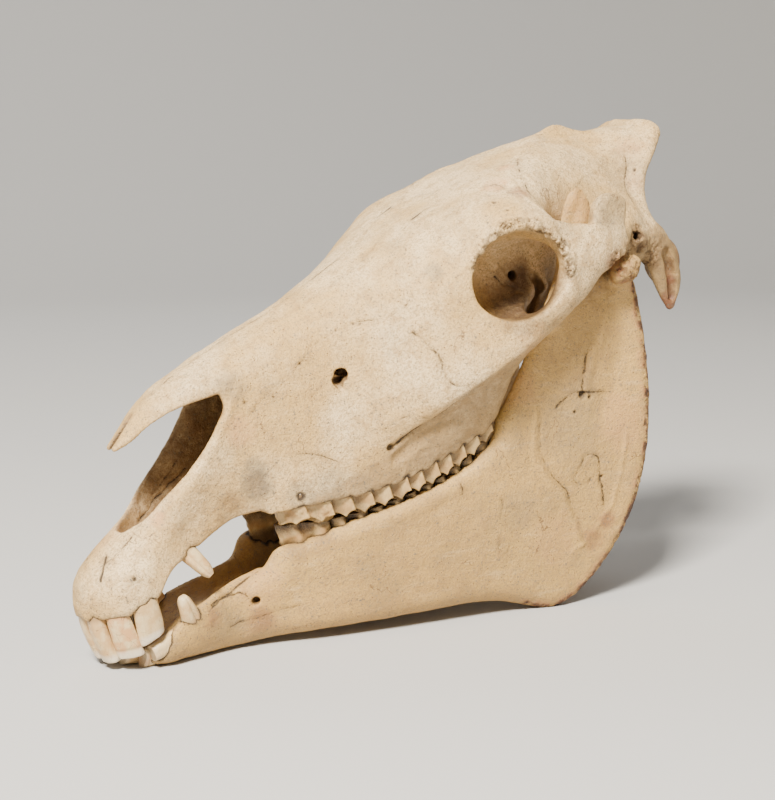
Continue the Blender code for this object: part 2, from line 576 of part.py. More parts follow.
def ring_body(name, rings):
    """Closed body through rings of equal count, capped at both ends."""
    mesh = bmesh.new()
    loops = [[mesh.verts.new(point) for point in ring] for ring in rings]
    for lower, upper in zip(loops[:-1], loops[1:]):
        for i in range(len(lower)):
            j = (i + 1) % len(lower)
            mesh.faces.new((lower[i], lower[j], upper[j], upper[i]))
    mesh.faces.new(loops[0][::-1])
    mesh.faces.new(loops[-1])
    bmesh.ops.recalc_face_normals(mesh, faces=mesh.faces)
    data = bpy.data.meshes.new(name)
    mesh.to_mesh(data)
    mesh.free()
    return bpy.data.objects.new(name, data)


# Buccal folds and tongue side of an upper cheek tooth, in parts of its length and width.
UPPER_PLAN = ((-0.5, 0.44), (-0.28, 0.3), (-0.06, 0.5), (0.04, 0.5), (0.28, 0.28), (0.49, 0.42),
              (0.47, -0.36), (0.2, -0.5), (-0.1, -0.42), (-0.46, -0.4))
LOWER_PLAN = ((-0.49, 0.3), (-0.25, 0.5), (-0.02, 0.26), (0.24, 0.5), (0.48, 0.3),
              (0.47, -0.34), (0.1, -0.5), (-0.2, -0.38), (-0.47, -0.34))


def height_on(knots, x):
    """Height at x on a line of (x, height) knots."""
    return np.interp(x, [k[0] for k in knots], [k[1] for k in knots])


def cheek_teeth(name, first, sockets, plan, width, inset, side, up):
    """Row of cheek teeth on one side; up is 1 where the roots go up."""
    teeth = []
    start = first
    for number, length in enumerate(CHEEK_LENGTHS):
        centre = start + length / 2
        outer = height_on(ROW_WIDTH, centre) - inset
        heading = (height_on(ROW_WIDTH, centre + 5) - height_on(ROW_WIDTH, centre - 5)) / 10
        wide = width * (END_TOOTH_PART if number in (0, len(CHEEK_LENGTHS) - 1) else 1)
        ends = []
        for end in ("root", "wear"):
            ring = []
            for u, v in plan:
                if number == 0 and u < -0.4:
                    v *= 0.35
                x = centre + u * (length - TOOTH_GAP)
                y = outer - wide / 2 + v * wide + heading * (x - centre)
                if end == "root":
                    z = height_on(sockets, x) + up * ROOT_DEPTH
                else:
                    z = height_on(WEAR_SURFACE, x) + up * WEAR_GAP / 2
                ring.append((x, side * y, z))
            ends.append(ring)
        teeth.append(ring_body(name + str(number), ends))
        start += length
    return teeth


# Section of a front tooth, in parts of its width and thickness.
FRONT_PLAN = (
    (-0.5, 0.08), (-0.42, 0.4), (0, 0.5), (0.42, 0.4), (0.5, 0.08), (0.34, -0.45), (-0.34, -0.45),
)

# Front teeth: name, root, tip, width and thickness at both, heading round the jaw in degrees,
# outward bow and slant of the worn edge.
UPPER_FRONT = (
    ("i1", (5.5, 6.8, 12), (0.5, 6.9, -31.5), (12.5, 13.4), (10, 9), 6, 3, 0),
    ("i2", (13.5, 15.5, 12), (9, 18.5, -30.5), (13.5, 16.5), (10, 8.5), 48, 2, 1),
    ("i3", (29, 24, 14), (23, 24.5, -25), (14.5, 17), (9, 8.5), 82, 1.5, -5),
    ("canine", (62, 12, 18), (71.5, 24.5, -8.5), (14, 8), (10, 7), 90, 1.5, 0),
)
LOWER_FRONT = (
    ("i1", (28, 5, -41.5), (6.5, 6.4, -35.5), (10, 12.4), (9, 5.5), 10, 1, 0),
    ("i2", (34, 13, -42), (15, 17, -36.8), (11, 14), (9, 6.5), 35, 1, 0),
    ("i3", (46, 20, -35), (19.5, 23.5, -34.2), (15, 10), (11, 7.5), 75, 1, 0),
    ("canine", (51, 18.5, -38), (49.5, 24.8, -11.5), (15, 8), (8.5, 7), 90, 1.5, 0),
)


def front_tooth(name, root, tip, wide, thick, heading, bow, slant, side):
    """Bowed crown from root to tip, wide across the jaw and thick along it."""
    rings = []
    turn = math.radians(heading)
    root, tip = np.array(root, float), np.array(tip, float)
    along = (tip - root) / np.linalg.norm(tip - root)
    out = np.array((-math.cos(turn), math.sin(turn), 0))
    across = np.cross(out, along)
    across /= np.linalg.norm(across)
    out = np.cross(along, across)
    for t in (0, 0.4, 0.7, 1):
        centre = root + (tip - root) * t + out * bow * math.sin(math.pi * t)
        w = wide[0] + (wide[1] - wide[0]) * t
        d = thick[0] + (thick[1] - thick[0]) * t
        ring = []
        for u, v in FRONT_PLAN:
            point = centre + across * u * w + out * v * d
            rise = slant * u if t == 1 else 0
            ring.append((point[0], side * point[1], point[2] + rise))
        rings.append(ring)
    return ring_body(name, rings)


def surface(name, colour, roughness):
    """Plain surface material."""
    material = bpy.data.materials.new(name)
    material.use_nodes = True
    shader = material.node_tree.nodes["Principled BSDF"]
    shader.inputs["Base Color"].default_value = (*colour, 1)
    shader.inputs["Roughness"].default_value = roughness
    shader.inputs["Metallic"].default_value = 0
    return material


def apply_all(obj):
    """Replace the object's mesh with the one that its modifiers make."""
    graph = bpy.context.evaluated_depsgraph_get()
    graph.update()
    done = bpy.data.meshes.new_from_object(obj.evaluated_get(graph))
    obj.modifiers.clear()
    old = obj.data
    obj.data = done
    bpy.data.meshes.remove(old)


def keep_largest(obj):
    """Delete every closed surface of the mesh but the one with the most faces."""
    mesh = bmesh.new()
    mesh.from_mesh(obj.data)
    bmesh.ops.remove_doubles(mesh, verts=mesh.verts, dist=MERGE)
    bmesh.ops.dissolve_degenerate(mesh, edges=mesh.edges, dist=MERGE)
    waiting = set(mesh.verts)
    islands = []
    while waiting:
        island = {waiting.pop()}
        front = list(island)
        while front:
            vertex = front.pop()
            for edge in vertex.link_edges:
                other = edge.other_vert(vertex)
                if other not in island:
                    island.add(other)
                    front.append(other)
        waiting -= island
        islands.append(island)
    islands.sort(key=len)
    for island in islands[:-1]:
        bmesh.ops.delete(mesh, geom=list(island), context="VERTS")
    mesh.to_mesh(obj.data)
    mesh.free()


def build_bone(name, bone, triangles, teeth, colour):
    """Bone thinned to a number of triangles, with its teeth joined to it as one body."""
    mesh = bone.mesh(name)
    obj = bpy.data.objects.new(name, mesh)
    bpy.context.scene.collection.objects.link(obj)
    thin = obj.modifiers.new("thin", "DECIMATE")
    thin.ratio = triangles / (2 * len(mesh.polygons))
    thin.use_collapse_triangulate = True
    apply_all(obj)
    row = bpy.data.collections.new(name + "_teeth")
    bpy.context.scene.collection.children.link(row)
    for tooth in teeth:
        row.objects.link(tooth)
    join = obj.modifiers.new("join", "BOOLEAN")
    join.operation = "UNION"
    join.operand_type = "COLLECTION"
    join.collection = row
    join.solver = "MANIFOLD"
    apply_all(obj)
    for tooth in list(row.objects):
        bpy.data.objects.remove(tooth)
    bpy.data.collections.remove(row)
    keep_largest(obj)
    obj.data.materials.clear()
    obj.data.materials.append(surface(name + "_bone", colour, BONE_ROUGHNESS))
    return obj


def all_points(objects):
    """Vertices of all the objects."""
    return np.array([vertex.co for obj in objects for vertex in obj.data.vertices])


def resting_pitch(points):
    """Nose down pitch that brings the chin and the angles of the jaw to one level."""
    front = points[points[:, 0] < CHIN_END]
    rear = points[points[:, 0] >= CHIN_END]
    low, high = 0.0, 45.0
    for _ in range(30):
        pitch = (low + high) / 2
        turn = math.radians(pitch)
        weights = np.array((math.sin(turn), 0, math.cos(turn)))
        if (front @ weights).min() > (rear @ weights).min():
            low = pitch
        else:
            high = pitch
    return pitch


def set_down(objects):
    """Pitch the skull nose down, scale it to metres and stand it on the floor, centred."""
    turn = Matrix.Rotation(math.radians(-resting_pitch(all_points(objects))), 4, "Y") @ Matrix.Scale(MM, 4)
    for obj in objects:
        obj.data.transform(turn)
    points = all_points(objects)
    low, high = points.min(axis=0), points.max(axis=0)
    floor = low[2] + FLAT_DEPTH * MM
    for obj in objects:
        flatten(obj, floor)
        obj.data.transform(Matrix.Translation((-(low[0] + high[0]) / 2, -(low[1] + high[1]) / 2, -floor)))


def flatten(obj, floor):
    """Trim what reaches below the floor to a flat."""
    mesh = bmesh.new()
    mesh.from_mesh(obj.data)
    if min(vertex.co.z for vertex in mesh.verts) < floor:
        everything = mesh.verts[:] + mesh.edges[:] + mesh.faces[:]
        bmesh.ops.bisect_plane(mesh, geom=everything, dist=MERGE * MM, plane_co=(0, 0, floor),
                               plane_no=(0, 0, -1), clear_outer=True)
        bmesh.ops.holes_fill(mesh, edges=[edge for edge in mesh.edges if edge.is_boundary], sides=0)
        bmesh.ops.remove_doubles(mesh, verts=mesh.verts, dist=MERGE * MM)
        bmesh.ops.triangulate(mesh, faces=mesh.faces)
        mesh.to_mesh(obj.data)
    mesh.free()


def main():
    for item in list(bpy.data.objects):
        bpy.data.objects.remove(item)
    upper, lower = [], []
    for side in (-1, 1):
        upper += cheek_teeth("upper", UPPER_ROW_START, UPPER_SOCKETS, UPPER_PLAN, UPPER_TOOTH_WIDTH, 0,
                             side, 1)
        upper += [front_tooth(*tooth, side) for tooth in UPPER_FRONT]
        lower += cheek_teeth("lower", LOWER_ROW_START, LOWER_SOCKETS, LOWER_PLAN, LOWER_TOOTH_WIDTH,
                             LOWER_ROW_INSET, side, -1)
        lower += [front_tooth(*tooth, side) for tooth in LOWER_FRONT]
    cranium = build_bone("cranium", cranium_bone(GRID_STEP), CRANIUM_TRIANGLES, upper, CRANIUM_COLOUR)
    mandible = build_bone("mandible", mandible_bone(GRID_STEP), MANDIBLE_TRIANGLES, lower, MANDIBLE_COLOUR)
    set_down((cranium, mandible))


if __name__ == "__main__":
    main()
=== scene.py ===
"""Zebra skull lying closed on a pale floor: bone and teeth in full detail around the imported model.

The bone is described in millimetres in the skull's own frame, as in the part's source: X
runs back from the front of the upper jaw, Y is sideways (the animal's left is at -Y) and
Z rises from the line of the upper cheek tooth sockets.
"""
import math

import bmesh
import bpy
import numpy as np
from mathutils import Matrix, Vector
from mathutils.kdtree import KDTree


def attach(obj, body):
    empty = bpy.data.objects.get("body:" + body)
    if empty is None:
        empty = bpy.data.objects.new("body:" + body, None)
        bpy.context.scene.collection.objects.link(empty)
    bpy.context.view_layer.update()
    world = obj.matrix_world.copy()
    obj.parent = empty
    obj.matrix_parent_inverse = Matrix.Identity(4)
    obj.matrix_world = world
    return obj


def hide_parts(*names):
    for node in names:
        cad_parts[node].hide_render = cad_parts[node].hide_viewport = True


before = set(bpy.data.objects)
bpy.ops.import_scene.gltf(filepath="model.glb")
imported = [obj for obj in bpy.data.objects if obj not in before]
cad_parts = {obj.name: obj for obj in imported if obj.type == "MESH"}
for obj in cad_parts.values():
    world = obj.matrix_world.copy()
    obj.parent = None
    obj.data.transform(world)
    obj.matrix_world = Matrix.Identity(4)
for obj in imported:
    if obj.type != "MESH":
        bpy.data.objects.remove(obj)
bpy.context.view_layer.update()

MM = 0.001
# Spacing of the grid of distances that the bone is meshed from, and a distance that counts as far away.
GRID_STEP = 1.0
FAR = 60.0
# Distance to start from when the nearest of several is looked for.
BEYOND = 1e9
# Depth that a filled grid point is set below the surface.
PINCH_FILL = 0.3
# Cheek teeth: where the rows start along X, how wide the teeth are, how far the lower row
# lies inside the upper one, how far the roots sink in and how much the end teeth are narrowed.
UPPER_ROW_START = 125
LOWER_ROW_START = 123.5
UPPER_TOOTH_WIDTH = 22
LOWER_TOOTH_WIDTH = 15
LOWER_ROW_INSET = 6.5
ROOT_DEPTH = 9
END_TOOTH_PART = 0.86
# Lengths of the six cheek teeth from front to back, and the gaps between and above them.
CHEEK_LENGTHS = (31, 25.5, 24.5, 22, 21.5, 24)
TOOTH_GAP = 0.4
WEAR_GAP = 0.4
# Upright lobe at the back of the zygomatic arch: distance from the midline and half thickness.
LOBE_MIDDLE = 84.5
LOBE_HALF = 5.5
# Coronoid blade of the lower jaw: half thickness and lean towards the midline.
BLADE_HALF = 2.8
BLADE_LEAN = 0.1
# Thicker rim along the angle of the lower jaw.
RIM_SWELL = 3.5
RIM_WIDTH = 8
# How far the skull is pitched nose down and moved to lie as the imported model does.
PITCH = 20.2379
SHIFT = (-0.21865, 0.0, 0.03508)
# The photograph's camera in the skull's frame, and its lens in millimetres on a 36 mm wide sensor.
CAMERA_PLACE = (-277.0, -935.9, 387.9)
CAMERA_AHEAD = (0.4565, 0.8297, -0.3213)
CAMERA_UP = (0.3665, 0.0, 0.9304)
CAMERA_LENS = 80.8
SENSOR_WIDTH = 36.0
# Floor in metres: radius of its inner ring and of its flat part, radius of the bend into the wall,
# height of the wall, places round it and places along the bend.
FLOOR_INNER = 1.0
FLOOR_FLAT = 2.6
FLOOR_BEND = 2.0
WALL_TOP = 5.0
FLOOR_SIDES = 96
FLOOR_BENDS = 13
FLOOR_COLOUR = (0.52, 0.51, 0.49, 1)
FLOOR_ROUGHNESS = 0.9
AIR_COLOUR = (0.84, 0.82, 0.8, 1)
AIR_STRENGTH = 0.34
# Soft lights: name, place, what they point at, size, power and colour.
LIGHTS = (
    ("key", (-1.45, -1.2, 2.1), (0, 0, 0.15), 0.6, 275, (1, 0.95, 0.87)),
    ("fill", (0.9, -2.0, 0.5), (0, 0, 0.12), 1.2, 2, (1, 0.97, 0.94)),
    ("back", (0.4, 2.2, 2.4), (0, 2.6, 0.4), 2.0, 40, (1, 1, 1)),
)
# Sections along a cheek tooth, with those of its closing dome, and the same of a front tooth.
CHEEK_STEPS = 22
CHEEK_CAPS = 4
FRONT_STEPS = 30
FRONT_CAPS = 6
# Spacing in millimetres of pores, of the grains of crusty bone and of hairline cracks, and the scale
# of the noise that bends the last two.
PORE_SPACING = 1.7
GRAIN_SPACING = 1.9
CRACK_SPACING = 26
TOOTH_CRACK_SPACING = 7
JITTER_SCALE = 0.12
BONE_IOR = 1.5


def at_stations(stations, lines):
    """Lines of (x, y, z) knots, from lines of (y, z) at shared places along x or of knots of their own."""
    return {name: [(x, *place) for x, place in zip(stations, line)] if len(line[0]) == 2 else line
            for name, line in lines.items()}


# Lines that run along the front of the upper jaw, with the places along x that they share.
MUZZLE_STATIONS = (-5, 0, 8, 20, 35, 50, 66, 83, 100, 115, 128)
MUZZLE_LINES = at_stations(MUZZLE_STATIONS, {
    "midline": ((0, 7), (0, 16), (0, 23), (0, 29), (0, 35), (0, 42), (0, 52), (0, 64), (0, 74), (0, 84),
        (0, 92)),
    "upper edge": ((4, 6), (9, 14), (14, 20), (17, 25), (16, 31.5), (16, 38), (21, 46.5), (24, 55),
        (25.5, 65.5), (26, 78), (25, 90)),
    "shoulder": ((7, 3), (13, 8), (20, 12), (26, 16), (27, 20), (24.5, 28), (25, 38), (27, 47), (28, 58),
        (28.5, 71), (28, 80)),
    "side": ((8.5, 0), (14, 2), (22.5, 3), (29, 5), (30, 8), (26, 13), (22.5, 22), (24, 32), (26.5, 40),
        (28.5, 42), (30, 42)),
    "gum": ((-5, 8, -3), (0, 13, -3), (8, 21.5, -5), (20, 28, -4), (35, 29.5, -2), (42, 28.5, 3),
        (50, 25.5, 7), (66, 21.5, 9), (83, 21, 14), (100, 23, 17.5), (115, 28, 17), (128, 31, 12)),
    "palate edge": ((5, -3), (8, -3), (14, -4), (20, -3), (22, -1), (18, 6), (15, 8), (16, 12), (19, 14),
        (23, 12), (24, 6)),
    "palate": ((0, -1), (0, -2), (0, 1), (0, 5), (0, 7), (0, 9), (0, 11), (0, 13), (0, 14), (0, 13), (0, 12)),
})

# Lines that run along the face from the nasal notch to the orbits, in the same way.
FACE_STATIONS = (118, 145, 192, 229, 277, 317, 340, 356)
FACE_LINES = at_stations(FACE_STATIONS, {
    "midline": ((0, 108), (0, 112), (0, 117), (0, 124), (0, 131.5), (0, 136), (0, 137), (0, 137)),
    "nasal crest": ((12, 106), (14, 109.5), (17, 113), (20, 120), (26, 131), (34, 136), (38, 137), (36, 136)),
    "nasal edge": ((21, 99), (24, 102), (29, 104), (36, 111), (50, 125.5), (62, 132), (63, 129), (48, 130)),
    "shoulder": ((26, 90), (30, 91), (36, 92), (46, 99), (67, 114), (84, 121), (83, 117), (54, 120)),
    "upper cheek": ((27.5, 76), (33, 76), (40, 78), (54, 84), (77, 97), (88, 104), (90, 105), (56, 106)),
    "cheek": ((28.5, 55), (36, 54), (44, 60), (62, 65), (80, 73), (90, 80), (93, 90), (72, 92)),
    "above the crest": ((29, 35), (37.5, 32), (49, 39), (68, 46), (86, 53), (92, 62), (95, 72), (78, 78)),
    "facial crest": ((30, 20), (39, 16), (51, 24), (69, 31), (86.5, 41), (91, 52), (93, 62), (76, 66)),
    "below the crest": ((31, 11), (39.5, 9), (50.5, 11), (61, 18), (77, 33), (84, 45), (86, 57), (72, 62)),
    "socket edge": ((118, 30, 9), (145, 39.5, 4), (175, 46, -3), (200, 50.5, -7), (225, 53.5, -7),
        (250, 55.5, -5), (277, 57, 1), (300, 55, 24), (317, 62, 44), (356, 62, 60)),
    "palate edge": ((118, 25, 10), (145, 33, 2), (192, 42, -3), (229, 46, -4), (277, 48, 2), (300, 44, 24),
        (317, 50, 44), (356, 50, 58)),
    "palate": ((118, 16, 11), (145, 18, 6), (192, 21, 4), (229, 23, 4), (277, 24, 8), (300, 26, 24),
        (317, 30, 42), (356, 30, 52)),
    "palate midline": ((118, 0, 12), (145, 0, 13), (192, 0, 14), (229, 0, 14), (277, 0, 18), (317, 0, 32),
        (356, 0, 44)),
})

# Lines of (x, y, z) that run along the braincase from between the orbits to the nuchal crest.
BRAINCASE_LINES = {
    "sagittal crest": ((290, 0, 124), (320, 0, 134), (350, 0, 139.5), (410, 0, 142), (430, 0, 141.5),
        (449, 0, 129.5), (468, 0, 125.5), (489, 0, 120)),
    "temporal line": ((290, 24, 124), (320, 32, 133), (350, 40, 137.5), (376, 32, 138), (410, 10, 138),
        (430, 5, 134), (449, 8, 127), (468, 14, 123), (486, 15, 120)),
    "upper wall": ((290, 38, 118), (320, 44, 125), (350, 59, 126), (376, 47, 126), (410, 31, 124),
        (430, 23, 119), (449, 22, 112), (468, 27, 114), (486, 26, 117)),
    "wall": ((290, 44, 106), (350, 71, 110), (362, 63, 110), (376, 55, 110), (410, 44, 106), (430, 38, 101),
        (449, 34, 92), (456, 34, 92), (468, 31, 101), (488, 27, 112)),
    "widest": ((290, 38, 90), (350, 66, 94), (362, 60, 94), (378, 54, 91), (410, 52, 86), (430, 50, 80),
        (446, 43, 74), (454, 33, 78), (467, 20, 92), (488, 20, 108)),
    "lower wall": ((290, 30, 66), (350, 42, 72), (378, 46, 70), (410, 51, 64), (430, 50, 60), (446, 45, 54),
        (455, 34, 58), (470, 15, 74), (486, 16, 106)),
    "base edge": ((290, 26, 46), (350, 30, 54), (378, 33, 52), (410, 37, 48), (430, 35, 44), (449, 32, 40),
        (458, 28, 42), (470, 13, 52), (486, 10, 104)),
    "base": ((290, 14, 34), (350, 13, 44), (410, 14, 43), (430, 13, 40), (449, 12, 36), (458, 14, 37),
        (470, 10, 42), (486, 5, 103)),
    "base midline": ((290, 0, 32), (350, 0, 43), (410, 0, 42), (430, 0, 39), (449, 0, 35), (458, 0, 35),
        (470, 0, 40), (486, 0, 103)),
}

# Lines that run back along the free tip of the nasal bones.
TIP_STATIONS = (50, 60, 72, 89, 110, 130)
NASAL_TIP = at_stations(TIP_STATIONS, {
    "top": ((0, 84), (0, 89.5), (0, 96.5), (0, 103), (0, 107), (0, 110)),
    "upper edge": ((4, 83.8), (6, 88.5), (9, 95), (12, 101), (14, 104.5), (15, 107)),
    "side": ((5.5, 82.8), (9, 86), (12.5, 91), (17.5, 96), (22.5, 98.5), (24.5, 99)),
    "lower edge": ((5, 81.6), (9, 83.5), (13, 88.5), (18.5, 92), (24.5, 92), (27, 90)),
    "inner edge": ((2.5, 80.8), (6.5, 83.5), (10.5, 88.5), (15.5, 92), (20.5, 92), (23, 90)),
    "inner side": ((1.5, 80.8), (4.5, 84.5), (7, 90.5), (10, 95.5), (12, 99.5), (13, 102)),
    "roof": ((0, 80.8), (0, 85), (0, 92), (0, 98), (0, 102), (0, 105)),
})

# Lines that run back through the nasal cavity.
CAVITY_STATIONS = (37, 46, 60, 80, 100, 121, 150, 200, 240)
NASAL_CAVITY = at_stations(CAVITY_STATIONS, {
    "top": ((37, 0, 56), (60, 0, 75), (80, 0, 88), (100, 0, 96), (121, 0, 102), (150, 0, 105), (200, 0, 107),
        (240, 0, 107)),
    "upper side": ((37, 3, 54), (60, 9, 70), (80, 14, 84), (100, 16, 93), (121, 15, 98), (150, 16, 100),
        (200, 18, 101), (240, 10, 101)),
    "side": ((5, 46), (10, 47), (15, 56), (20.5, 68), (23, 84), (22, 88), (24, 86), (28, 83), (14, 84)),
    "lower side": ((4.5, 37), (10, 38), (15, 41), (20, 47), (22, 52), (24, 56), (27, 57), (30, 57), (16, 62)),
    "floor edge": ((3, 33), (7, 29), (10, 25), (14, 24), (16, 24), (18, 24), (20, 24), (21, 25), (12, 34)),
    "floor": ((0, 33), (0, 29), (0, 28), (0, 27), (0, 27), (0, 27), (0, 27), (0, 28), (0, 36)),
})


def line_at(knots, x):
    """Smooth curve through knots of (x, y, z), read at the places x."""
    knots = np.array(knots, float)
    kx = knots[:, 0]
    step = np.diff(kx)
    slope = np.diff(knots[:, 1:], axis=0) / step[:, None]
    tangent = np.empty((len(kx), 2))
    tangent[0] = slope[0]
    tangent[-1] = slope[-1]
    weight = (step[1:] / (step[1:] + step[:-1]))[:, None]
    tangent[1:-1] = slope[:-1] * weight + slope[1:] * (1 - weight)
    span = np.clip(np.searchsorted(kx, x, side="right") - 1, 0, len(kx) - 2)
    width = step[span]
    t = np.clip((x - kx[span]) / width, 0, 1)[:, None]
    width = width[:, None]
    p0 = knots[span, 1:]
    p1 = knots[span + 1, 1:]
    m0 = tangent[span] * width
    m1 = tangent[span + 1] * width
    return ((2 * t ** 3 - 3 * t ** 2 + 1) * p0 + (t ** 3 - 2 * t ** 2 + t) * m0
            + (3 * t ** 2 - 2 * t ** 3) * p1 + (t ** 3 - t ** 2) * m1)


def through(points, per_span=6):
    """Smooth open curve through points of any size, as a dense list of points."""
    points = np.array(points, float)
    ends = np.vstack([2 * points[0] - points[1], points, 2 * points[-1] - points[-2]])
    t = np.linspace(0, 1, per_span, endpoint=False)[:, None]
    runs = []
    for a, b, c, d in zip(ends[:-3], ends[1:-2], ends[2:-1], ends[3:]):
        runs.append(0.5 * (2 * b + (c - a) * t + (2 * a - 5 * b + 4 * c - d) * t ** 2
                           + (3 * b - a - 3 * c + d) * t ** 3))
    runs.append(points[-1:])
    return np.vstack(runs)


def outline_through(points, per_span):
    """Dense outline through the points, closed by a straight line that cuts off the last one."""
    closed = np.vstack([points[-2:], points, points[:2]])
    return through(closed, per_span)[2 * per_span:-2 * per_span - 1]


def polygon_distance(py, pz, outline):
    """Signed distance of the points (py, pz) to a closed outline, negative inside."""
    nearest = np.full(py.shape, BEYOND, np.float32)
    winding = np.zeros(py.shape, bool)
    for (ay, az), (by, bz) in zip(outline, np.roll(outline, -1, axis=0)):
        ey, ez = by - ay, bz - az
        length = ey * ey + ez * ez
        if length < 1e-9:
            continue
        wy, wz = py - ay, pz - az
        t = np.clip((wy * ey + wz * ez) / length, 0, 1)
        nearest = np.minimum(nearest, (wy - t * ey) ** 2 + (wz - t * ez) ** 2)
        if abs(ez) > 1e-9:
            winding ^= ((az > pz) != (bz > pz)) & (wy < ey * wz / ez)
    nearest = np.sqrt(nearest)
    return np.where(winding, -nearest, nearest)


def soft_min(a, b, radius):
    """Union of two bodies of distances, rounded where they meet."""
    if radius <= 0:
        return np.minimum(a, b)
    h = np.maximum(radius - np.abs(a - b), 0) / radius
    return np.minimum(a, b) - h * h * radius / 4


def soft_max(a, b, radius):
    """What two bodies of distances share, rounded where they meet."""
    return -soft_min(-a, -b, radius)


def loft(lines):
    """Body whose half section at each x passes through the lines from top to bottom."""
    every = np.vstack([np.array(line, float) for line in lines.values()])
    low = np.array([every[:, 0].min(), 0, every[:, 2].min()])
    high = np.array([every[:, 0].max(), every[:, 1].max(), every[:, 2].max()])

    def distance(x, y, z):
        xs = x.ravel()
        half = np.stack([line_at(line, xs) for line in lines.values()], axis=1)
        py, pz = np.broadcast_arrays(y[0].astype(np.float32), z[0].astype(np.float32))
        out = np.empty((len(xs),) + py.shape, np.float32)
        for i, section in enumerate(half):
            whole = np.vstack([section, (section[1:-1] * (-1, 1))[::-1]])
            out[i] = polygon_distance(py, pz, outline_through(whole, 3))
        ends = np.maximum(low[0] - x, x - high[0])
        return soft_max(out, np.broadcast_to(ends, out.shape).astype(np.float32), 2.0)
    return low, high, distance


def ball(centre, radii, tilt=0.0):
    """Ellipsoid, tilted by an angle about Y."""
    centre = np.array(centre, float)
    radii = np.array(radii, float)
    reach = np.array([max(radii[0], radii[2]), radii[1], max(radii[0], radii[2])])
    c, s = math.cos(math.radians(tilt)), math.sin(math.radians(tilt))

    def distance(x, y, z):
        dx, dy, dz = x - centre[0], y - centre[1], z - centre[2]
        u, w = dx * c + dz * s, dz * c - dx * s
        k0 = np.sqrt((u / radii[0]) ** 2 + (dy / radii[1]) ** 2 + (w / radii[2]) ** 2)
        k1 = np.sqrt((u / radii[0] ** 2) ** 2 + (dy / radii[1] ** 2) ** 2 + (w / radii[2] ** 2) ** 2)
        return k0 * (k0 - 1) / np.maximum(k1, 1e-6)
    return centre - reach, centre + reach, distance


def rod(points, radii, squash=(1, 1, 1)):
    """Round bar through the points, with a radius at each, thinned along an axis by squash."""
    squash = np.array(squash, float)
    path = through(np.column_stack([np.array(points, float), radii]), 5)
    low = (path[:, :3] - path[:, 3:] * squash).min(axis=0)
    high = (path[:, :3] + path[:, 3:] * squash).max(axis=0)
    scaled = path[:, :3] / squash

    def distance(x, y, z):
        x, y, z = x / squash[0], y / squash[1], z / squash[2]
        shape = np.broadcast_shapes(x.shape, y.shape, z.shape)
        out = np.full(shape, BEYOND, np.float32)
        for a, b, ra, rb in zip(scaled[:-1], scaled[1:], path[:-1, 3], path[1:, 3]):
            e = b - a
            t = ((x - a[0]) * e[0] + (y - a[1]) * e[1] + (z - a[2]) * e[2]) / max(e @ e, 1e-9)
            t = np.clip(t, 0, 1)
            gap = np.sqrt((x - a[0] - t * e[0]) ** 2 + (y - a[1] - t * e[1]) ** 2
                          + (z - a[2] - t * e[2]) ** 2) - (ra + t * (rb - ra))
            out = np.minimum(out, gap)
        return out * squash.min()
    return low, high, distance


def plate(outline, middle, thickness, roundness=1.0):
    """Upright plate: an outline in X and Z, with its middle Y and half thickness as functions."""
    ring = outline_through(np.array(outline, float), 4)
    low = np.array([ring[:, 0].min(), 0, ring[:, 1].min()])
    high = np.array([ring[:, 0].max(), 100, ring[:, 1].max()])

    def distance(x, y, z):
        px, pz = np.broadcast_arrays(x[:, 0, :].astype(np.float32), z[0].astype(np.float32))
        flat = polygon_distance(px, pz, ring)
        mid = middle(px, pz)
        half = thickness(px, pz, flat)
        across = np.abs(y - mid[:, None, :]) - half[:, None, :]
        edge = np.broadcast_to(flat[:, None, :], across.shape)
        return soft_max(across, edge, 2.0 * roundness * float(half.mean()))
    return low, high, distance


def level(value):
    """The same value all over, for the middle or the thickness of a plate."""
    return lambda x, z, inside=None: np.full(x.shape, value, np.float32)


class Bone:
    """Right half of a bone on a grid of distances, mirrored when it is meshed."""

    def __init__(self, low, high, step):
        self.step = step
        self.axes = [low[i] + step * np.arange(int((high[i] - low[i]) / step) + 2) for i in range(3)]
        self.field = np.full([len(axis) for axis in self.axes], FAR, np.float32)

    def window(self, low, high, margin):
        """Part of the grid round a shape, as slices and as the places along each axis."""
        cuts = []
        for axis, a, b in zip(self.axes, low, high):
            first = max(int(np.searchsorted(axis, a - margin)) - 1, 0)
            last = min(int(np.searchsorted(axis, b + margin)) + 1, len(axis))
            cuts.append(slice(first, last))
        x, y, z = (axis[cut] for axis, cut in zip(self.axes, cuts))
        return tuple(cuts), (x[:, None, None], y[None, :, None], z[None, None, :])

    def add(self, shape, radius, sign=1):
        """Join a shape to the bone, or to the space round it where the sign is -1."""
        low, high, distance = shape
        cuts, places = self.window(low, high, radius + 2 * self.step)
        self.field[cuts] = sign * soft_min(sign * self.field[cuts], distance(*places), radius)

    def cut(self, shape, radius):
        self.add(shape, radius, -1)


def close_pinches(field):
    """Fill grid squares whose corners alternate, where the surface would touch itself."""
    while True:
        found = 0
        for u, v in ((0, 1), (0, 2), (1, 2)):
            near = [slice(0, -1) if axis in (u, v) else slice(None) for axis in range(3)]
            views = []
            for du, dv in ((0, 0), (1, 0), (1, 1), (0, 1)):
                view = list(near)
                view[u] = slice(du, field.shape[u] - 1 + du)
                view[v] = slice(dv, field.shape[v] - 1 + dv)
                views.append(field[tuple(view)])
            inside = [view < 0 for view in views]
            pinched = (inside[0] == inside[2]) & (inside[1] == inside[3]) & (inside[0] != inside[1])
            found += int(pinched.sum())
            for view in views:
                view[pinched & (view >= 0)] = -PINCH_FILL
        if not found:
            return


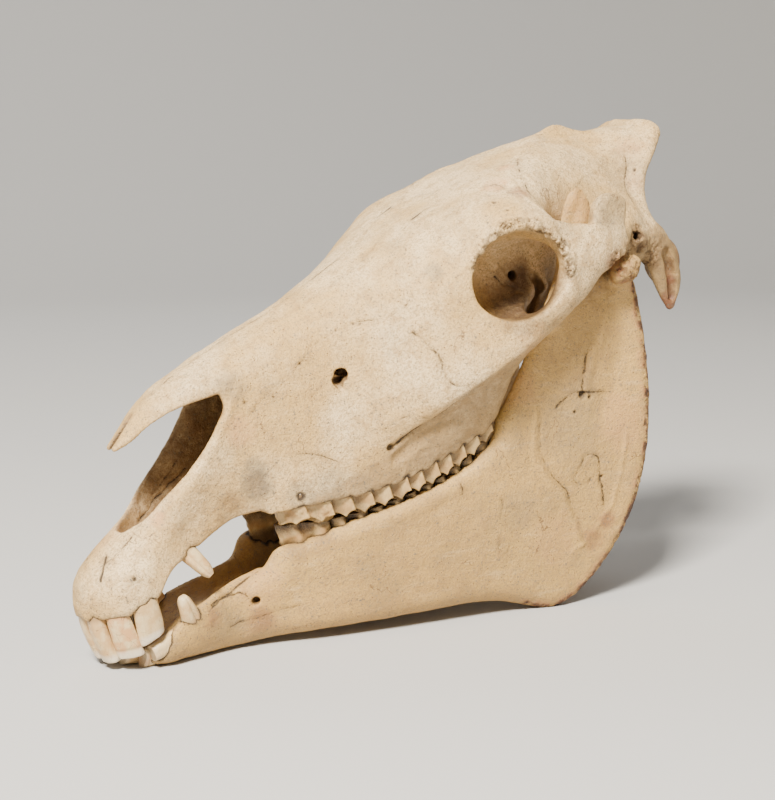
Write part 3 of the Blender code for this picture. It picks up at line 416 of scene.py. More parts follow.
def surface_net(field, axes):
    """Points and quads of the surface where the field is zero: one point a cell that it crosses."""
    inside = field < 0
    corners = list(np.ndindex(2, 2, 2))
    one_on = np.eye(3, dtype=int)
    size = [n - 1 for n in field.shape]
    count = np.zeros(size, np.int8)
    for i, j, k in corners:
        count += inside[i:i + size[0], j:j + size[1], k:k + size[2]]
    active = (count > 0) & (count < len(corners))
    cells = np.argwhere(active)
    number = np.full(size, -1, np.int64)
    number[active] = np.arange(len(cells))
    total = np.zeros((len(cells), 3))
    hits = np.zeros(len(cells))
    for axis in range(3):
        for corner in corners:
            if corner[axis]:
                continue
            start = cells + corner
            va, vb = (field[tuple(end.T)].astype(float) for end in (start, start + one_on[axis]))
            crossed = (va < 0) != (vb < 0)
            place = np.array(corner, float) + np.zeros((len(cells), 3))
            place[:, axis] += va / np.where(crossed, va - vb, 1)
            total += place * crossed[:, None]
            hits += crossed
    step = axes[0][1] - axes[0][0]
    origin = np.array([axis[0] for axis in axes])
    points = origin + step * (cells + total / hits[:, None])
    faces = []
    for axis in range(3):
        u, v = (axis + 1) % 3, (axis + 2) % 3
        edges = np.argwhere(np.diff(inside, axis=axis))
        keep = (edges[:, u] > 0) & (edges[:, v] > 0) & (edges[:, u] < size[u]) & (edges[:, v] < size[v])
        edges = edges[keep]
        inward = ~inside[tuple(edges.T)]
        quads = np.stack([number[tuple((edges + du * one_on[u] + dv * one_on[v]).T)]
                          for du, dv in ((-1, -1), (0, -1), (0, 0), (-1, 0))], axis=1)
        quads[inward] = quads[inward][:, ::-1]
        faces.append(quads)
    return points, np.vstack(faces)


# Lines that run along the fused front of the lower jaw, with the places along x that they share.
CHIN_STATIONS = (15, 25, 40, 60, 85, 104)
CHIN_LINES = at_stations(CHIN_STATIONS, {
    "midline": ((0, -37), (0, -34), (0, -31), (0, -31), (0, -37), (0, -50)),
    "floor edge": ((8, -37), (15, -33), (15, -29), (11, -28), (9, -32), (11, -44)),
    "crest": ((15, 14, -37), (25, 23, -33), (40, 25, -26), (58, 22, -23.5), (85, 16, -23), (104, 16, -25)),
    "side": ((15, 17, -39), (25, 26.5, -37), (40, 28, -34), (58, 25.5, -34), (85, 20, -36), (104, 21, -40)),
    "lower side": ((15, -42), (24, -43), (25, -45), (22, -49), (20.5, -54), (21, -56)),
    "lower edge": ((8, -43), (15, -46.5), (16, -51), (15, -57.5), (14, -65), (15, -66)),
    "lower midline": ((0, -43), (0, -46), (0, -50), (0, -56), (0, -60), (0, -54)),
})

# Side outline of one half of the lower jaw: diastema and sockets, coronoid, condyle, angle, lower border.
JAW_OUTLINE = ((76, -32), (90, -25), (106, -22.5), (119, -15), (140, -19), (175, -20), (210, -23),
    (245, -22.5), (262, -17.5), (275, -11), (280, -2), (288, 5), (300, 16), (316, 34), (341, 68), (357, 97),
    (367, 112), (378, 120), (388, 119), (393, 111), (392, 94), (385, 77), (387, 64), (398, 59), (402, 44),
    (400, 22), (395, -11), (385, -49), (370, -81), (351, -107), (326, -128), (300, -140), (278, -141),
    (260, -131), (243, -119), (217, -108), (173, -94), (135, -81), (101, -71), (84, -64), (76, -56))
# Part of the outline that is the rear edge and the angle.
JAW_REAR = slice(24, 34)

# Ridge of the lower jaw that holds the cheek teeth, as a bar through (x, y, z), and its radii.
LOWER_RIDGE = ((124, 25.5, -25), (150, 32.5, -25), (175, 38.5, -26.5), (200, 43, -28.5), (225, 46, -29),
    (250, 48, -27.5), (268, 50.5, -22.5))
LOWER_RIDGE_RADII = (5.5, 6.5, 6.5, 6.5, 6.5, 6.5, 5.5)

# Jaw plate along x: (x, distance of its middle from the midline, half thickness).
JAW_PLATE = ((76, 15, 6), (90, 16, 7), (104, 19.5, 8), (121, 24, 10), (160, 31, 12), (200, 37, 12.5),
    (240, 43, 11.5), (275, 50, 8.5), (305, 55, 5.5), (345, 63, 4.4), (400, 72, 5))

# Outline of the upright lobe at the back of the zygomatic arch, as (x, z).
LOBE_OUTLINE = ((362, 73), (365, 84), (369, 95), (374, 105), (383, 110), (393, 108), (399, 103), (399, 96),
    (394, 86), (390, 74), (379, 71))

# Cheek teeth: (x, height) along the edges of the sockets and the shared wear surface.
UPPER_SOCKETS = ((120, 9), (125, 7), (150, 3), (175, -3), (200, -7), (225, -7), (250, -5), (277, 1), (285, 4))
WEAR_SURFACE = ((120, -2), (125, -3), (150, -11), (175, -17), (200, -19.5), (225, -20), (250, -17), (277, -9),
    (285, -6))
LOWER_SOCKETS = ((115, -15), (135, -19.5), (150, -19), (175, -20.5), (200, -22.5), (225, -23), (250, -21.5),
    (272, -14), (285, -9))
ROW_WIDTH = ((120, 31), (125, 33), (150, 39.5), (175, 45), (200, 50), (225, 53), (250, 55), (277, 56.5),
    (285, 57))


def cranium_bone(step):
    """Cranium: muzzle, face, braincase, arch and occiput, with its openings."""
    bone = Bone((-12, 0, -16), (508, 104, 152), step)
    bone.add(loft(MUZZLE_LINES), 0)
    bone.add(loft(FACE_LINES), 3)
    bone.add(loft(BRAINCASE_LINES), 6)
    add_arch(bone)
    add_occiput(bone)
    # wall of the palatine and pterygoid bones beside the inner nostrils
    bone.add(rod(((262, 22, 16), (282, 23, 20), (302, 21, 20), (318, 20, 30)), (6, 7, 6, 5),
                 (1, 0.45, 1)), 4)
    cut_orbit(bone)
    # wall of the orbit towards the base of the braincase, and the inner nostrils
    bone.add(rod(((294, 36, 40), (318, 31, 42), (350, 27, 46), (388, 27, 48)), (9, 12, 11, 8)), 6)
    bone.cut(rod(((250, 0, 14), (280, 0, 22), (310, 0, 28), (335, 0, 30)), (10, 16, 16, 8)), 3)
    # canal of the spinal cord
    bone.cut(rod(((505, 0, 47), (455, 0, 51)), (15, 13)), 3)
    add_nose(bone)
    # opening of the infraorbital canal
    bone.cut(rod(((184, 52, 70), (192, 38, 70), (200, 30, 70)), (3.5, 4, 3)), 1)
    return bone


def add_arch(bone):
    """Zygomatic arch behind the orbit, its upright lobe and its root on the braincase."""
    bone.add(rod(((322, 87, 60), (340, 89, 72), (358, 90, 80), (372, 89, 79), (381, 86, 80)),
                 (9, 17, 16, 13, 9), (1, 0.4, 1)), 4)
    bone.add(rod(((334, 86, 107), (348, 87, 96), (362, 88, 84)), (8, 9.5, 12), (1, 0.55, 1)), 5)
    bone.add(plate(LOBE_OUTLINE, level(LOBE_MIDDLE), level(LOBE_HALF), 0.4), 4)
    bone.add(rod(((384, 81, 78), (397, 70, 74), (412, 57, 70), (428, 44, 70)), (7, 6.5, 7, 9)), 9)
    bone.add(rod(((384, 82, 77), (394, 70, 73.5), (410, 52, 64)), (6.5, 6.5, 9)), 5)


def add_occiput(bone):
    """Nuchal crest down to the ear, occipital condyles, paracondylar processes and the ear."""
    bone.add(rod(((487, 0, 117.5), (489, 14, 116.5), (488, 25, 114), (476, 32, 106), (460, 35, 94),
                  (451.5, 38, 80), (448, 41, 66), (445, 44, 54)), (5, 5, 4.5, 4, 4, 4, 5, 6)), 7)
    bone.add(ball((469, 21.5, 26), (13, 12, 17), -15), 5)
    bone.add(rod(((445, 45, 50), (450, 44, 36), (452.5, 42, 20), (450, 41, 3)), (14, 13, 11.5, 4.5),
                 (1, 0.42, 1)), 5)
    bone.add(ball((428, 47, 57), (11, 9, 12)), 5)
    bone.add(rod(((425, 36, 46), (418, 26, 36)), (10, 6)), 4)


def cut_orbit(bone):
    """Orbit, the space below the arch that the coronoid passes, and the temporal fossa."""
    bone.cut(ball((307.5, 88, 88), (31.5, 46, 27), 4), 3)
    bone.cut(rod(((312, 70, 82), (330, 60, 80), (352, 66, 82)), (23, 21, 18)), 6)
    bone.cut(ball((314, 66, 80), (26, 26, 24)), 3)
    bone.cut(rod(((330, 64, 22), (338, 64, 44), (352, 64, 62), (363, 66, 80)), (20, 20, 19, 18)), 6)
    bone.cut(rod(((380, 67, 60), (380, 68, 104), (386, 67, 150)), (25, 23, 24), (1, 0.55, 1)), 6)
    bone.cut(rod(((361, 71, 70), (364, 72, 104), (370, 74, 150)), (14, 11, 11), (1, 0.8, 1)), 5)


def add_nose(bone):
    """Nasal cavity, the free tip of the nasal bones and the notch between its points."""
    bone.cut(loft(NASAL_CAVITY), 2)
    bone.add(loft(NASAL_TIP), 2)
    bone.cut(rod(((44, 0, 82), (56, 0, 86.5), (71, 0, 96)), (2.3, 1.7, 0.9), (1, 1, 3)), 1)


def jaw_middle(x, z):
    """Distance of the middle of the jaw plate from the midline, which leans in at the top and bottom."""
    along = line_at(JAW_PLATE, x.ravel())[:, 0].reshape(x.shape)
    blade = BLADE_LEAN * np.maximum(z - 62, 0)
    border = 0.04 * np.maximum(-60 - z, 0) * np.clip((280 - x) / 60, 0, 1)
    return along - blade - border


def jaw_thickness(x, z, inside):
    """Half thickness of the jaw plate, with a thicker rim along the angle."""
    along = line_at(JAW_PLATE, x.ravel())[:, 1].reshape(x.shape)
    rim = RIM_SWELL * np.exp(np.minimum(inside, 0) / RIM_WIDTH)
    rim = rim * np.clip((x - 240) / 60, 0, 1) * np.clip((60 - z) / 30, 0, 1)
    blade = np.clip((z - 55) / 20, 0, 1)
    return (along + rim) * (1 - blade) + BLADE_HALF * blade


def mandible_bone(step):
    """Lower jaw: fused front, two plates with coronoid blades, condyles and mental foramina."""
    bone = Bone((4, 0, -146), (410, 104, 120), step)
    bone.add(loft(CHIN_LINES), 0)
    bone.add(plate(JAW_OUTLINE, jaw_middle, jaw_thickness), 6)
    bone.add(rod(LOWER_RIDGE, LOWER_RIDGE_RADII), 4)
    # condyle and its neck
    bone.add(rod(((394, 52, 56), (394, 62, 58), (392, 74, 58)), (5, 6.5, 6.5)), 3)
    bone.add(ball((388, 83, 57), (12.5, 8, 8.5), 10), 4)
    bone.add(rod(((392, 58, 50), (390, 68, 42), (388, 76, 50)), (5, 7, 5)), 6)
    # mental foramen
    bone.cut(rod(((88, 28, -39), (96, 20, -39)), (2.5, 2.5)), 1)
    return bone


# Outline of a lower cheek tooth from above, in parts of its length and width.
LOWER_PLAN = ((-0.49, 0.3), (-0.25, 0.5), (-0.02, 0.26), (0.24, 0.5), (0.48, 0.3), (0.47, -0.34), (0.1, -0.5),
    (-0.2, -0.38), (-0.47, -0.34))


def height_on(knots, x):
    """Height at x on a line of (x, height) knots."""
    return np.interp(x, [k[0] for k in knots], [k[1] for k in knots])


# Front teeth: name, root, tip, width and thickness at both, heading round the jaw in degrees,
# outward bow and slant of the worn edge.
UPPER_FRONT = (('i1', (5.5, 6.8, 12), (0.5, 6.9, -31.5), (12.5, 13.4), (10, 9), 6, 3, 0),
    ('i2', (13.5, 15.5, 12), (9, 18.5, -30.5), (13.5, 16.5), (10, 8.5), 48, 2, 1),
    ('i3', (29, 24, 14), (23, 24.5, -25), (14.5, 17), (9, 8.5), 82, 1.5, -5),
    ('canine', (62, 12, 18), (71.5, 24.5, -8.5), (14, 8), (10, 7), 90, 1.5, 0))
LOWER_FRONT = (('i1', (28, 5, -41.5), (6.5, 6.4, -35.5), (10, 12.4), (9, 5.5), 10, 1, 0),
    ('i2', (34, 13, -42), (15, 17, -36.8), (11, 14), (9, 6.5), 35, 1, 0),
    ('i3', (46, 20, -35), (19.5, 23.5, -34.2), (15, 10), (11, 7.5), 75, 1, 0),
    ('canine', (51, 18.5, -38), (49.5, 24.8, -11.5), (15, 8), (8.5, 7), 90, 1.5, 0))


PLACED = (Matrix.Translation(SHIFT) @ Matrix.Rotation(-math.radians(PITCH), 4, "Y")
          @ Matrix.Scale(MM, 4))

# Rounds of smoothing that take the steps of the grid off the bone, and how far the points move in
# and back out in each.
SMOOTH_ROUNDS = 3
SMOOTH_IN = 0.5
SMOOTH_OUT = -0.52
# Distance beyond which a line no longer marks the bone.
LINE_REACH = 6.0

# Named colours of the bone and the teeth.
IVORY = (0.84, 0.61, 0.325)
CREAM = (0.64, 0.4, 0.13)
WHEAT = (0.61, 0.37, 0.105)
HONEY = (0.52, 0.32, 0.09)
TAN = (0.44, 0.26, 0.09)
GOLD = (0.38, 0.22, 0.07)
GREY = (0.2, 0.155, 0.095)
BROWN = (0.13, 0.062, 0.02)
# Darkest colour: dirt, dark seams and painted shade in hollows, gaps and folds.
DIRT_AND_SHADE = (0.04, 0.022, 0.01)
RUST = (0.2, 0.06, 0.028)
ORANGE = (0.62, 0.31, 0.12)
WORN = (0.74, 0.66, 0.52)
CEMENT = (0.58, 0.39, 0.16)
CEMENT_DEEP = (0.42, 0.26, 0.09)
ENAMEL = (0.7, 0.52, 0.27)
ENAMEL_DEEP = (0.58, 0.38, 0.16)

# Rough upper rim of the orbit, from the front round the top to the rear.
ORBIT_RIM = ((283, 77, 104), (292, 79, 113.5), (298.5, 81, 117), (307, 83, 120), (316.5, 86, 120),
    (324.5, 89, 114), (334, 90, 104), (339, 93, 94), (340.5, 94.5, 86), (337.5, 96, 78.5))

# Seen from the side: middle of that rim, middle of the orbit's opening and its reach from there.
ORBIT_RIM_MIDDLE = (310, 0, 87)
ORBIT_MIDDLE = (310, 0, 84)
ORBIT_REACH = (31, 1, 30)

# Facial crest: (x, height). The bone below it is tan.
CREST_HEIGHT = ((105, 2), (188, 13), (200, 16.5), (222, 25), (242, 26), (259, 35), (290, 41), (330, 49),
    (380, 62))

# Spots of crusty tissue at the ear, below it and on the joint of the arch: (place, radius, roughness).
CRUST_SPOTS = (((424, 55, 62), 11, 1.0), ((438, 48, 46), 11, 0.9), ((383, 84, 68), 13, 0.8),
    ((375, 92, 68), 9, 0.7), ((440, 44, 60), 8, 0.6))

# Hollow between the ridges of the ramus, as a line, and the middle of the crusty knob of the condyle.
RAMUS_HOLLOW = ((386, 80, 46), (378, 73, 16), (368, 71, -6), (352, 68, -26))
CONDYLE_KNOB = (388, 86, 58)

# Lines on the cranium: (half width, depth, darkness, wobble, points). A negative depth is a ridge.
CRANIUM_LINES = {
    "between the nasal bones": (0.8, 0.5, 0.7, 0.3, ((60, 0, 89), (110, 0, 107), (200, 0, 118),
        (262, 0, 130))),
    "between the frontal bones": (0.7, 0.25, 0.35, 1.2, ((262, 0, 130), (317, 0, 136), (350, 0, 139))),
    "side of the nasal bone": (0.7, 0.2, 0.4, 0.8, ((104, 9, 105), (150, 12, 111), (190, 16, 114),
        (223, 20, 120), (250, 20, 126), (271, 10, 131))),
    "maxilla and nasal bone": (0.8, 0.35, 0.45, 1, ((126.5, 30, 69), (139.5, 32, 77), (156.5, 33.5, 83),
        (170, 34, 86.5), (188, 35, 93.5), (211, 40, 95.5), (228, 49, 92.5), (246, 56, 96))),
    "maxilla and malar bone": (0.9, 0.5, 0.8, 1.6, ((236, 62, 80), (240, 66, 69.5), (242.5, 69.5, 62.5),
        (241.5, 71.5, 55), (243, 74.5, 45.5), (252, 79, 38.5), (262, 81, 34))),
    "muzzle and maxilla": (0.8, 0.3, 0.3, 1.2, ((124, 26, 88), (119, 29, 70), (112, 29, 50), (104, 26, 30))),
    "front of the nostril": (0.8, 0.5, 0.7, 0.9, ((14, 10, 25), (24, 14, 28), (39, 14, 33), (47, 12, 34))),
    "crack on the muzzle": (0.7, 0.6, 1, 0.2, ((21, 8, 28), (15, 13, 22), (11, 15, 18))),
    "floor of the nostril": (1, 0.9, 0.9, 0.5, ((55, 11.5, 30.5), (68, 15.5, 34.5), (82.5, 19, 38),
        (104, 21, 44))),
    "wall of the nostril": (0.7, 0.3, 0.6, 0.3, ((62, 14.5, 35), (82.5, 19.5, 43), (103.5, 22.5, 54))),
    # the dark line under the crest is painted shadow along its groove
    "under the crest": (1.9, 2.2, 1, 0.5, ((200, 54, 16), (212, 59, 20), (230, 65, 24), (250, 75, 30),
        (273, 83, 37), (292, 86, 42))),
    "crease below the crest": (0.8, 0.3, 0.5, 1, ((178, 46, 32), (195, 51.5, 30), (213, 61, 33.5),
        (230, 65, 25))),
    "scratch on the maxilla": (0.6, 0.2, 0.7, 0.3, ((146, 38, 38), (158.5, 41, 31), (168, 44, 22))),
    "second scratch": (0.6, 0.1, 0.5, 0.1, ((135, 34, 38), (122, 31, 32.5))),
    "scratch on the brow": (0.6, 0.3, 1, 0.2, ((285, 20.5, 133), (291, 20.6, 134), (298, 21, 134.5))),
    "temporal line": (1.6, -0.8, 0, 0.8, ((409, 12, 139), (380.5, 20, 141), (357, 35.5, 139),
        (345.5, 51.5, 134), (341.5, 63, 128.5), (338.5, 73.5, 124.5), (340, 84, 116))),
    "foot of the temporal line": (0.9, 0.4, 0.8, 1.6, ((400, 17, 137), (378, 26, 138), (362, 38, 136),
        (353, 52, 130), (348, 64, 124), (346, 74, 117))),
    "crease on the brow": (0.8, 0.3, 0.7, 0.9, ((331, 40, 137), (336.5, 47, 136), (336, 59.5, 131.5),
        (339, 66.5, 128))),
    "temporal and parietal bones": (0.8, 0.3, 0.6, 1.8, ((380, 52, 104), (400, 46, 110), (420, 38, 112),
        (436, 32, 112), (446, 30, 118))),
    "edge of the occiput": (0.9, 0.4, 0.8, 1.2, ((462, 26, 112), (452, 32, 100), (443, 36, 90),
        (438, 40, 76))),
    "curve on the lobe": (0.7, 0.25, 0.45, 0.6, ((371, 90, 96), (374, 90, 104), (383, 90, 108.5),
        (391, 90, 105.5), (395, 90, 99))),
    "wall of the orbit": (1.2, -1, 0, 0.4, ((318, 34, 104), (322, 38, 88), (331, 42, 68), (336, 44, 52))),
    "fold at the foramen": (1, 0.8, 0.9, 0.2, ((320, 40, 80), (323, 39, 71), (330, 40, 67))),
}

# Lines on the lower jaw, in the same way.
MANDIBLE_LINES = {
    "front of the ramus": (1.6, 0.7, 0.7, 1.2, ((309, 61, -8), (303, 60.5, -21.5), (299.5, 60, -36.5),
        (301, 60, -50), (308, 61, -66.5), (311, 61.5, -87), (310.5, 61.5, -108))),
    "raised edge of the scar": (2.2, -0.9, 0, 1.2, ((305, 61, -6), (298, 60.5, -21.5), (295, 60, -36.5),
        (297, 60, -51), (304, 61, -68), (307, 61.5, -88), (307, 61.5, -108))),
    "upper ridge": (3.2, -1.3, 0, 1, ((380, 73, 42), (372, 72, 33.5), (365, 71, 21.5), (357.5, 69.5, 12.5),
        (347, 68, -1), (341, 67, -10))),
    "crack from the pit": (0.8, 0.4, 0.9, 0.8, ((318, 63, -12), (329.5, 64.5, -8), (339, 66.5, -9),
        (348, 67.5, -13), (361, 70, -19))),
    "crack up from the pit": (0.9, 0.5, 0.9, 0.8, ((339, 66.5, -10), (343, 67, -1), (349, 68, 9),
        (357, 69, 21))),
    "ring": (1.2, 0.7, 0.8, 1, ((318, 62.5, -62), (325.5, 64, -54.5), (332.5, 65, -51), (337.5, 66, -57),
        (335.5, 65.5, -67), (334, 65.5, -78), (331, 65, -90))),
    "rest of the ring": (1, 0.5, 0.6, 1.2, ((334, 65.5, -66), (326, 64, -69), (318, 62.5, -67),
        (315, 62, -60))),
    "small ring": (0.9, 0.4, 0.6, 1.2, ((262, 57, -52), (258, 57, -62), (262, 57, -71), (269, 58, -64),
        (266, 57.5, -56))),
    "low ring": (0.9, 0.4, 0.6, 1.2, ((252, 55.5, -74), (249, 55, -82), (255, 56, -87), (259, 56, -79))),
    "scar at the angle": (1.6, -0.8, 0, 1.5, ((300, 61, -110), (318, 63, -104), (336, 65.5, -92),
        (352, 68, -70), (362, 70, -50))),
    "scratch below the teeth": (0.5, 0.1, 0.8, 0.1, ((239, 53, -28), (237.5, 53, -36))),
    "diastema ridge": (1, 0.4, 0.7, 0.4, ((62, 24, -29), (72, 21, -28), (88, 18, -27), (106, 20, -24))),
    "crack to the mental foramen": (0.7, 0.4, 0.9, 0.6, ((66, 24, -26), (76, 22.5, -27.5), (86.5, 22, -30),
        (90, 23, -37))),
    "long crack": (0.7, 0.4, 0.8, 0.6, ((72, 22, -46), (80, 23, -47), (91.5, 24, -49.5), (106.5, 28, -51),
        (118, 30, -53))),
    "hollow of the coronoid": (3.5, 1.3, 0, 0.3, ((362, 64.5, 88), (374, 66, 100), (384, 66, 110))),
    "middle of the chin": (1, 0.5, 0.5, 0.8, ((16, 0, -43), (40, 0, -50), (60, 0, -56), (84, 0, -60))),
}

# Patches of colour: (radius, strength, place). The left side has negative y.
CRANIUM_PATCHES = {
    "grey": ((11, 1, (117, -30, 30)), (7, 0.9, (121, -31, 40)), (10, 0.45, (126, -27, 93)),
        (12, 0.6, (140, -38, 12)), (13, 0.55, (158, -41, 8)), (10, 0.45, (176, -45, 4)),
        (7, 0.55, (263, -62, 108)), (14, 0.6, (383, -90, 100)), (20, 0.35, (450, -34, 100)),
        (14, 0.4, (210, 55, 12)), (10, 0.4, (120, 31, 20))),
    "orange": ((10, 0.7, (120, -29, 64)), (6, 0.8, (54.5, -19.5, 38.5)), (9, 0.7, (336, -47, 136)),
        (6, 0.8, (357, -35, 139)), (9, 0.45, (463, -29, 113)), (8, 0.4, (452, -36, 92)),
        (12, 0.35, (30, 8, 33)), (12, 0.4, (118, 29, 60)), (14, 0.3, (300, -85, 45))),
    "rust": ((9, 0.85, (447, -42, 6)), (7, 0.7, (452, -40, 22)), (8, 0.5, (372, -93, 70)),
        (9, 0.8, (447, 42, 6)), (10, 0.6, (470, -24, 26)), (8, 0.45, (341, -62, 129))),
    # the brown patches on the floor of the nose, at x 60 and 100, are painted shade
    "brown": ((8, 0.4, (117, -30, 30)), (7, 0.6, (462, -38, 46)), (17, 0.7, (472, -27, 33)),
        (17, 0.7, (472, 27, 33)), (11, 0.6, (424, -56, 62)), (11, 0.6, (424, 56, 62)), (7, 1, (453, -45, 30)),
        (7, 1, (452, -42, 18)), (5, 1, (451, -40, 10)), (9, 0.6, (449, 48, 24)), (11, 0.5, (60, -10, 29)),
        (11, 0.5, (60, 10, 29)), (13, 0.6, (100, -16, 24)), (13, 0.6, (100, 16, 24)),
        (14, 0.6, (444, -44, 44)), (14, 0.6, (444, 44, 44))),
}
MANDIBLE_PATCHES = {
    "gold": ((60, 0.4, (190, -45, -62)), (34, 0.4, (350, -67, 25)), (60, 0.4, (190, 45, -62)),
        (34, 0.4, (350, 67, 25))),
    "grey": ((26, 0.4, (325, -63, -27)), (14, 0.35, (270, -57, -62)), (12, 0.4, (70, -25, -42)),
        (20, 0.3, (250, 52, -60))),
    "orange": ((20, 0.6, (362, -71, -42)), (15, 0.55, (382, -60, 102)), (15, 0.55, (382, 60, 102)),
        (14, 0.45, (300, -58, 12)), (18, 0.35, (290, -58, -95)), (16, 0.4, (98, -24, -28)),
        (18, 0.4, (360, 71, -30))),
    "rust": ((9, 0.5, (318, -63, -108)), (7, 0.6, (330, -65, -100)), (9, 0.45, (92, -22, -52)),
        (9, 0.5, (310, 62, -116)), (7, 0.4, (62, -22, -34))),
    # the first three brown patches, high on the ramus under the arch and the condyle, are painted shadow
    "brown": ((20, 0.6, (372, -70, 62)), (16, 0.4, (352, -66, 60)), (20, 0.6, (372, 70, 62)),
        (26, 0.2, (90, 10, -34)), (9, 0.5, (128, -30, -20)), (10, 0.45, (140, -33, -22))),
}

# Pits and small openings: (radius, depth, place).
CRANIUM_PITS = ((2.6, 3.2, (200, -54, 17)), (2.2, 2.5, (203, 55, 17)), (0.9, 1.2, (170.5, -34, 86.5)),
    (0.8, 1.2, (199.5, -36.5, 95.5)), (0.9, 1.3, (210.5, -40, 95.5)), (0.7, 1, (214, -42, 94)),
    (0.8, 1.2, (146.5, -33.5, 75.5)), (1, 1.5, (129.5, -29.5, 79.5)), (0.7, 1, (261.5, -41.5, 122.5)),
    (1.5, 1.6, (319.5, -64, 131)), (1.2, 1.4, (319, -76, 127)), (1, 1.2, (12, -12, 20)),
    (1.3, 1.6, (463, -29, 112)), (1.1, 1.4, (457, -34, 98)), (1.2, 1.4, (449, -34, 110)),
    (0.8, 1.2, (190, 35, 92)), (1.4, 1.6, (316, 66, 131)), (1, 1.4, (150, 35, 70)))
MANDIBLE_PITS = ((2.4, 2.6, (339.5, -66.5, -11.5)), (1.3, 1.5, (344, -67, -15)),
    (1.2, 1.5, (336, -65.5, -70)), (1, 1.3, (331, -65, -20)), (0.9, 1.3, (283, -58, -44)),
    (1.6, 2, (338, 66, -14)), (0.9, 1.2, (60, -24, -38)), (0.9, 1.2, (54, 12, -30)),
    (0.9, 1.2, (58, 16, -28)), (0.8, 1.2, (50, 8, -31)))


def lattice(ix, iy, iz, seed):
    """Repeatable random numbers from -1 to 1 at whole places."""
    n = (ix * 73856093) ^ (iy * 19349663) ^ (iz * 83492791) ^ (seed * 2654435761)
    n &= 0xFFFFFFFF
    n = ((n ^ (n >> 13)) * 1274126177) & 0xFFFFFFFF
    n ^= n >> 16
    return (n & 0xFFFF).astype(np.float32) / 32767.5 - 1


def cell_corners(part):
    """The eight corners of a cell, each with its weight at the places inside it."""
    for corner in np.ndindex(2, 2, 2):
        x, y, z = (part[:, axis] if far else 1 - part[:, axis] for axis, far in enumerate(corner))
        yield *corner, x * y * z


def noise(points, size, seed):
    """Smooth noise from -1 to 1 with lumps of the given size."""
    scaled = points / np.asarray(size, float)
    whole = np.floor(scaled).astype(np.int64)
    part = (scaled - whole).astype(np.float32)
    part = part * part * (3 - 2 * part)
    total = np.zeros(len(points), np.float32)
    for i, j, k, weight in cell_corners(part):
        total += weight * lattice(whole[:, 0] + i, whole[:, 1] + j, whole[:, 2] + k, seed)
    return total


def layered(points, size, seed, layers=3):
    """Noise with ever finer layers, each half as strong."""
    total = 0
    for layer in range(layers):
        total = total + noise(points, np.asarray(size, float) / 2 ** layer, seed + layer) / 2 ** layer
    return total


def smooth_step(low, high, value):
    t = np.clip((value - low) / (high - low), 0, 1)
    return t * t * (3 - 2 * t)


def distance_to_path(points, path):
    """Shortest distance from each point to a path of short segments."""
    nearest = np.full(len(points), BEYOND)
    for a, b in zip(path[:-1], path[1:]):
        e = b - a
        w = points - a
        t = np.clip(w @ e / max(e @ e, 1e-9), 0, 1)
        nearest = np.minimum(nearest, ((w - t[:, None] * e) ** 2).sum(axis=1))
    return np.sqrt(nearest)


def put(name, data):
    """New object in the scene."""
    made = bpy.data.objects.new(name, data)
    bpy.context.scene.collection.objects.link(made)
    return made


def mirrored(points):
    """Each side of the skull, -1 or 1, with the points moved over to it."""
    for side in (-1, 1):
        yield side, np.array(points, float) * (1, side, 1)


def add_masks(mesh, masks):
    """Give a mesh its masks, one value for each point."""
    for label, values in masks.items():
        mesh.attributes.new(label, "FLOAT", "POINT").data.foreach_set("value", values.astype(np.float32))


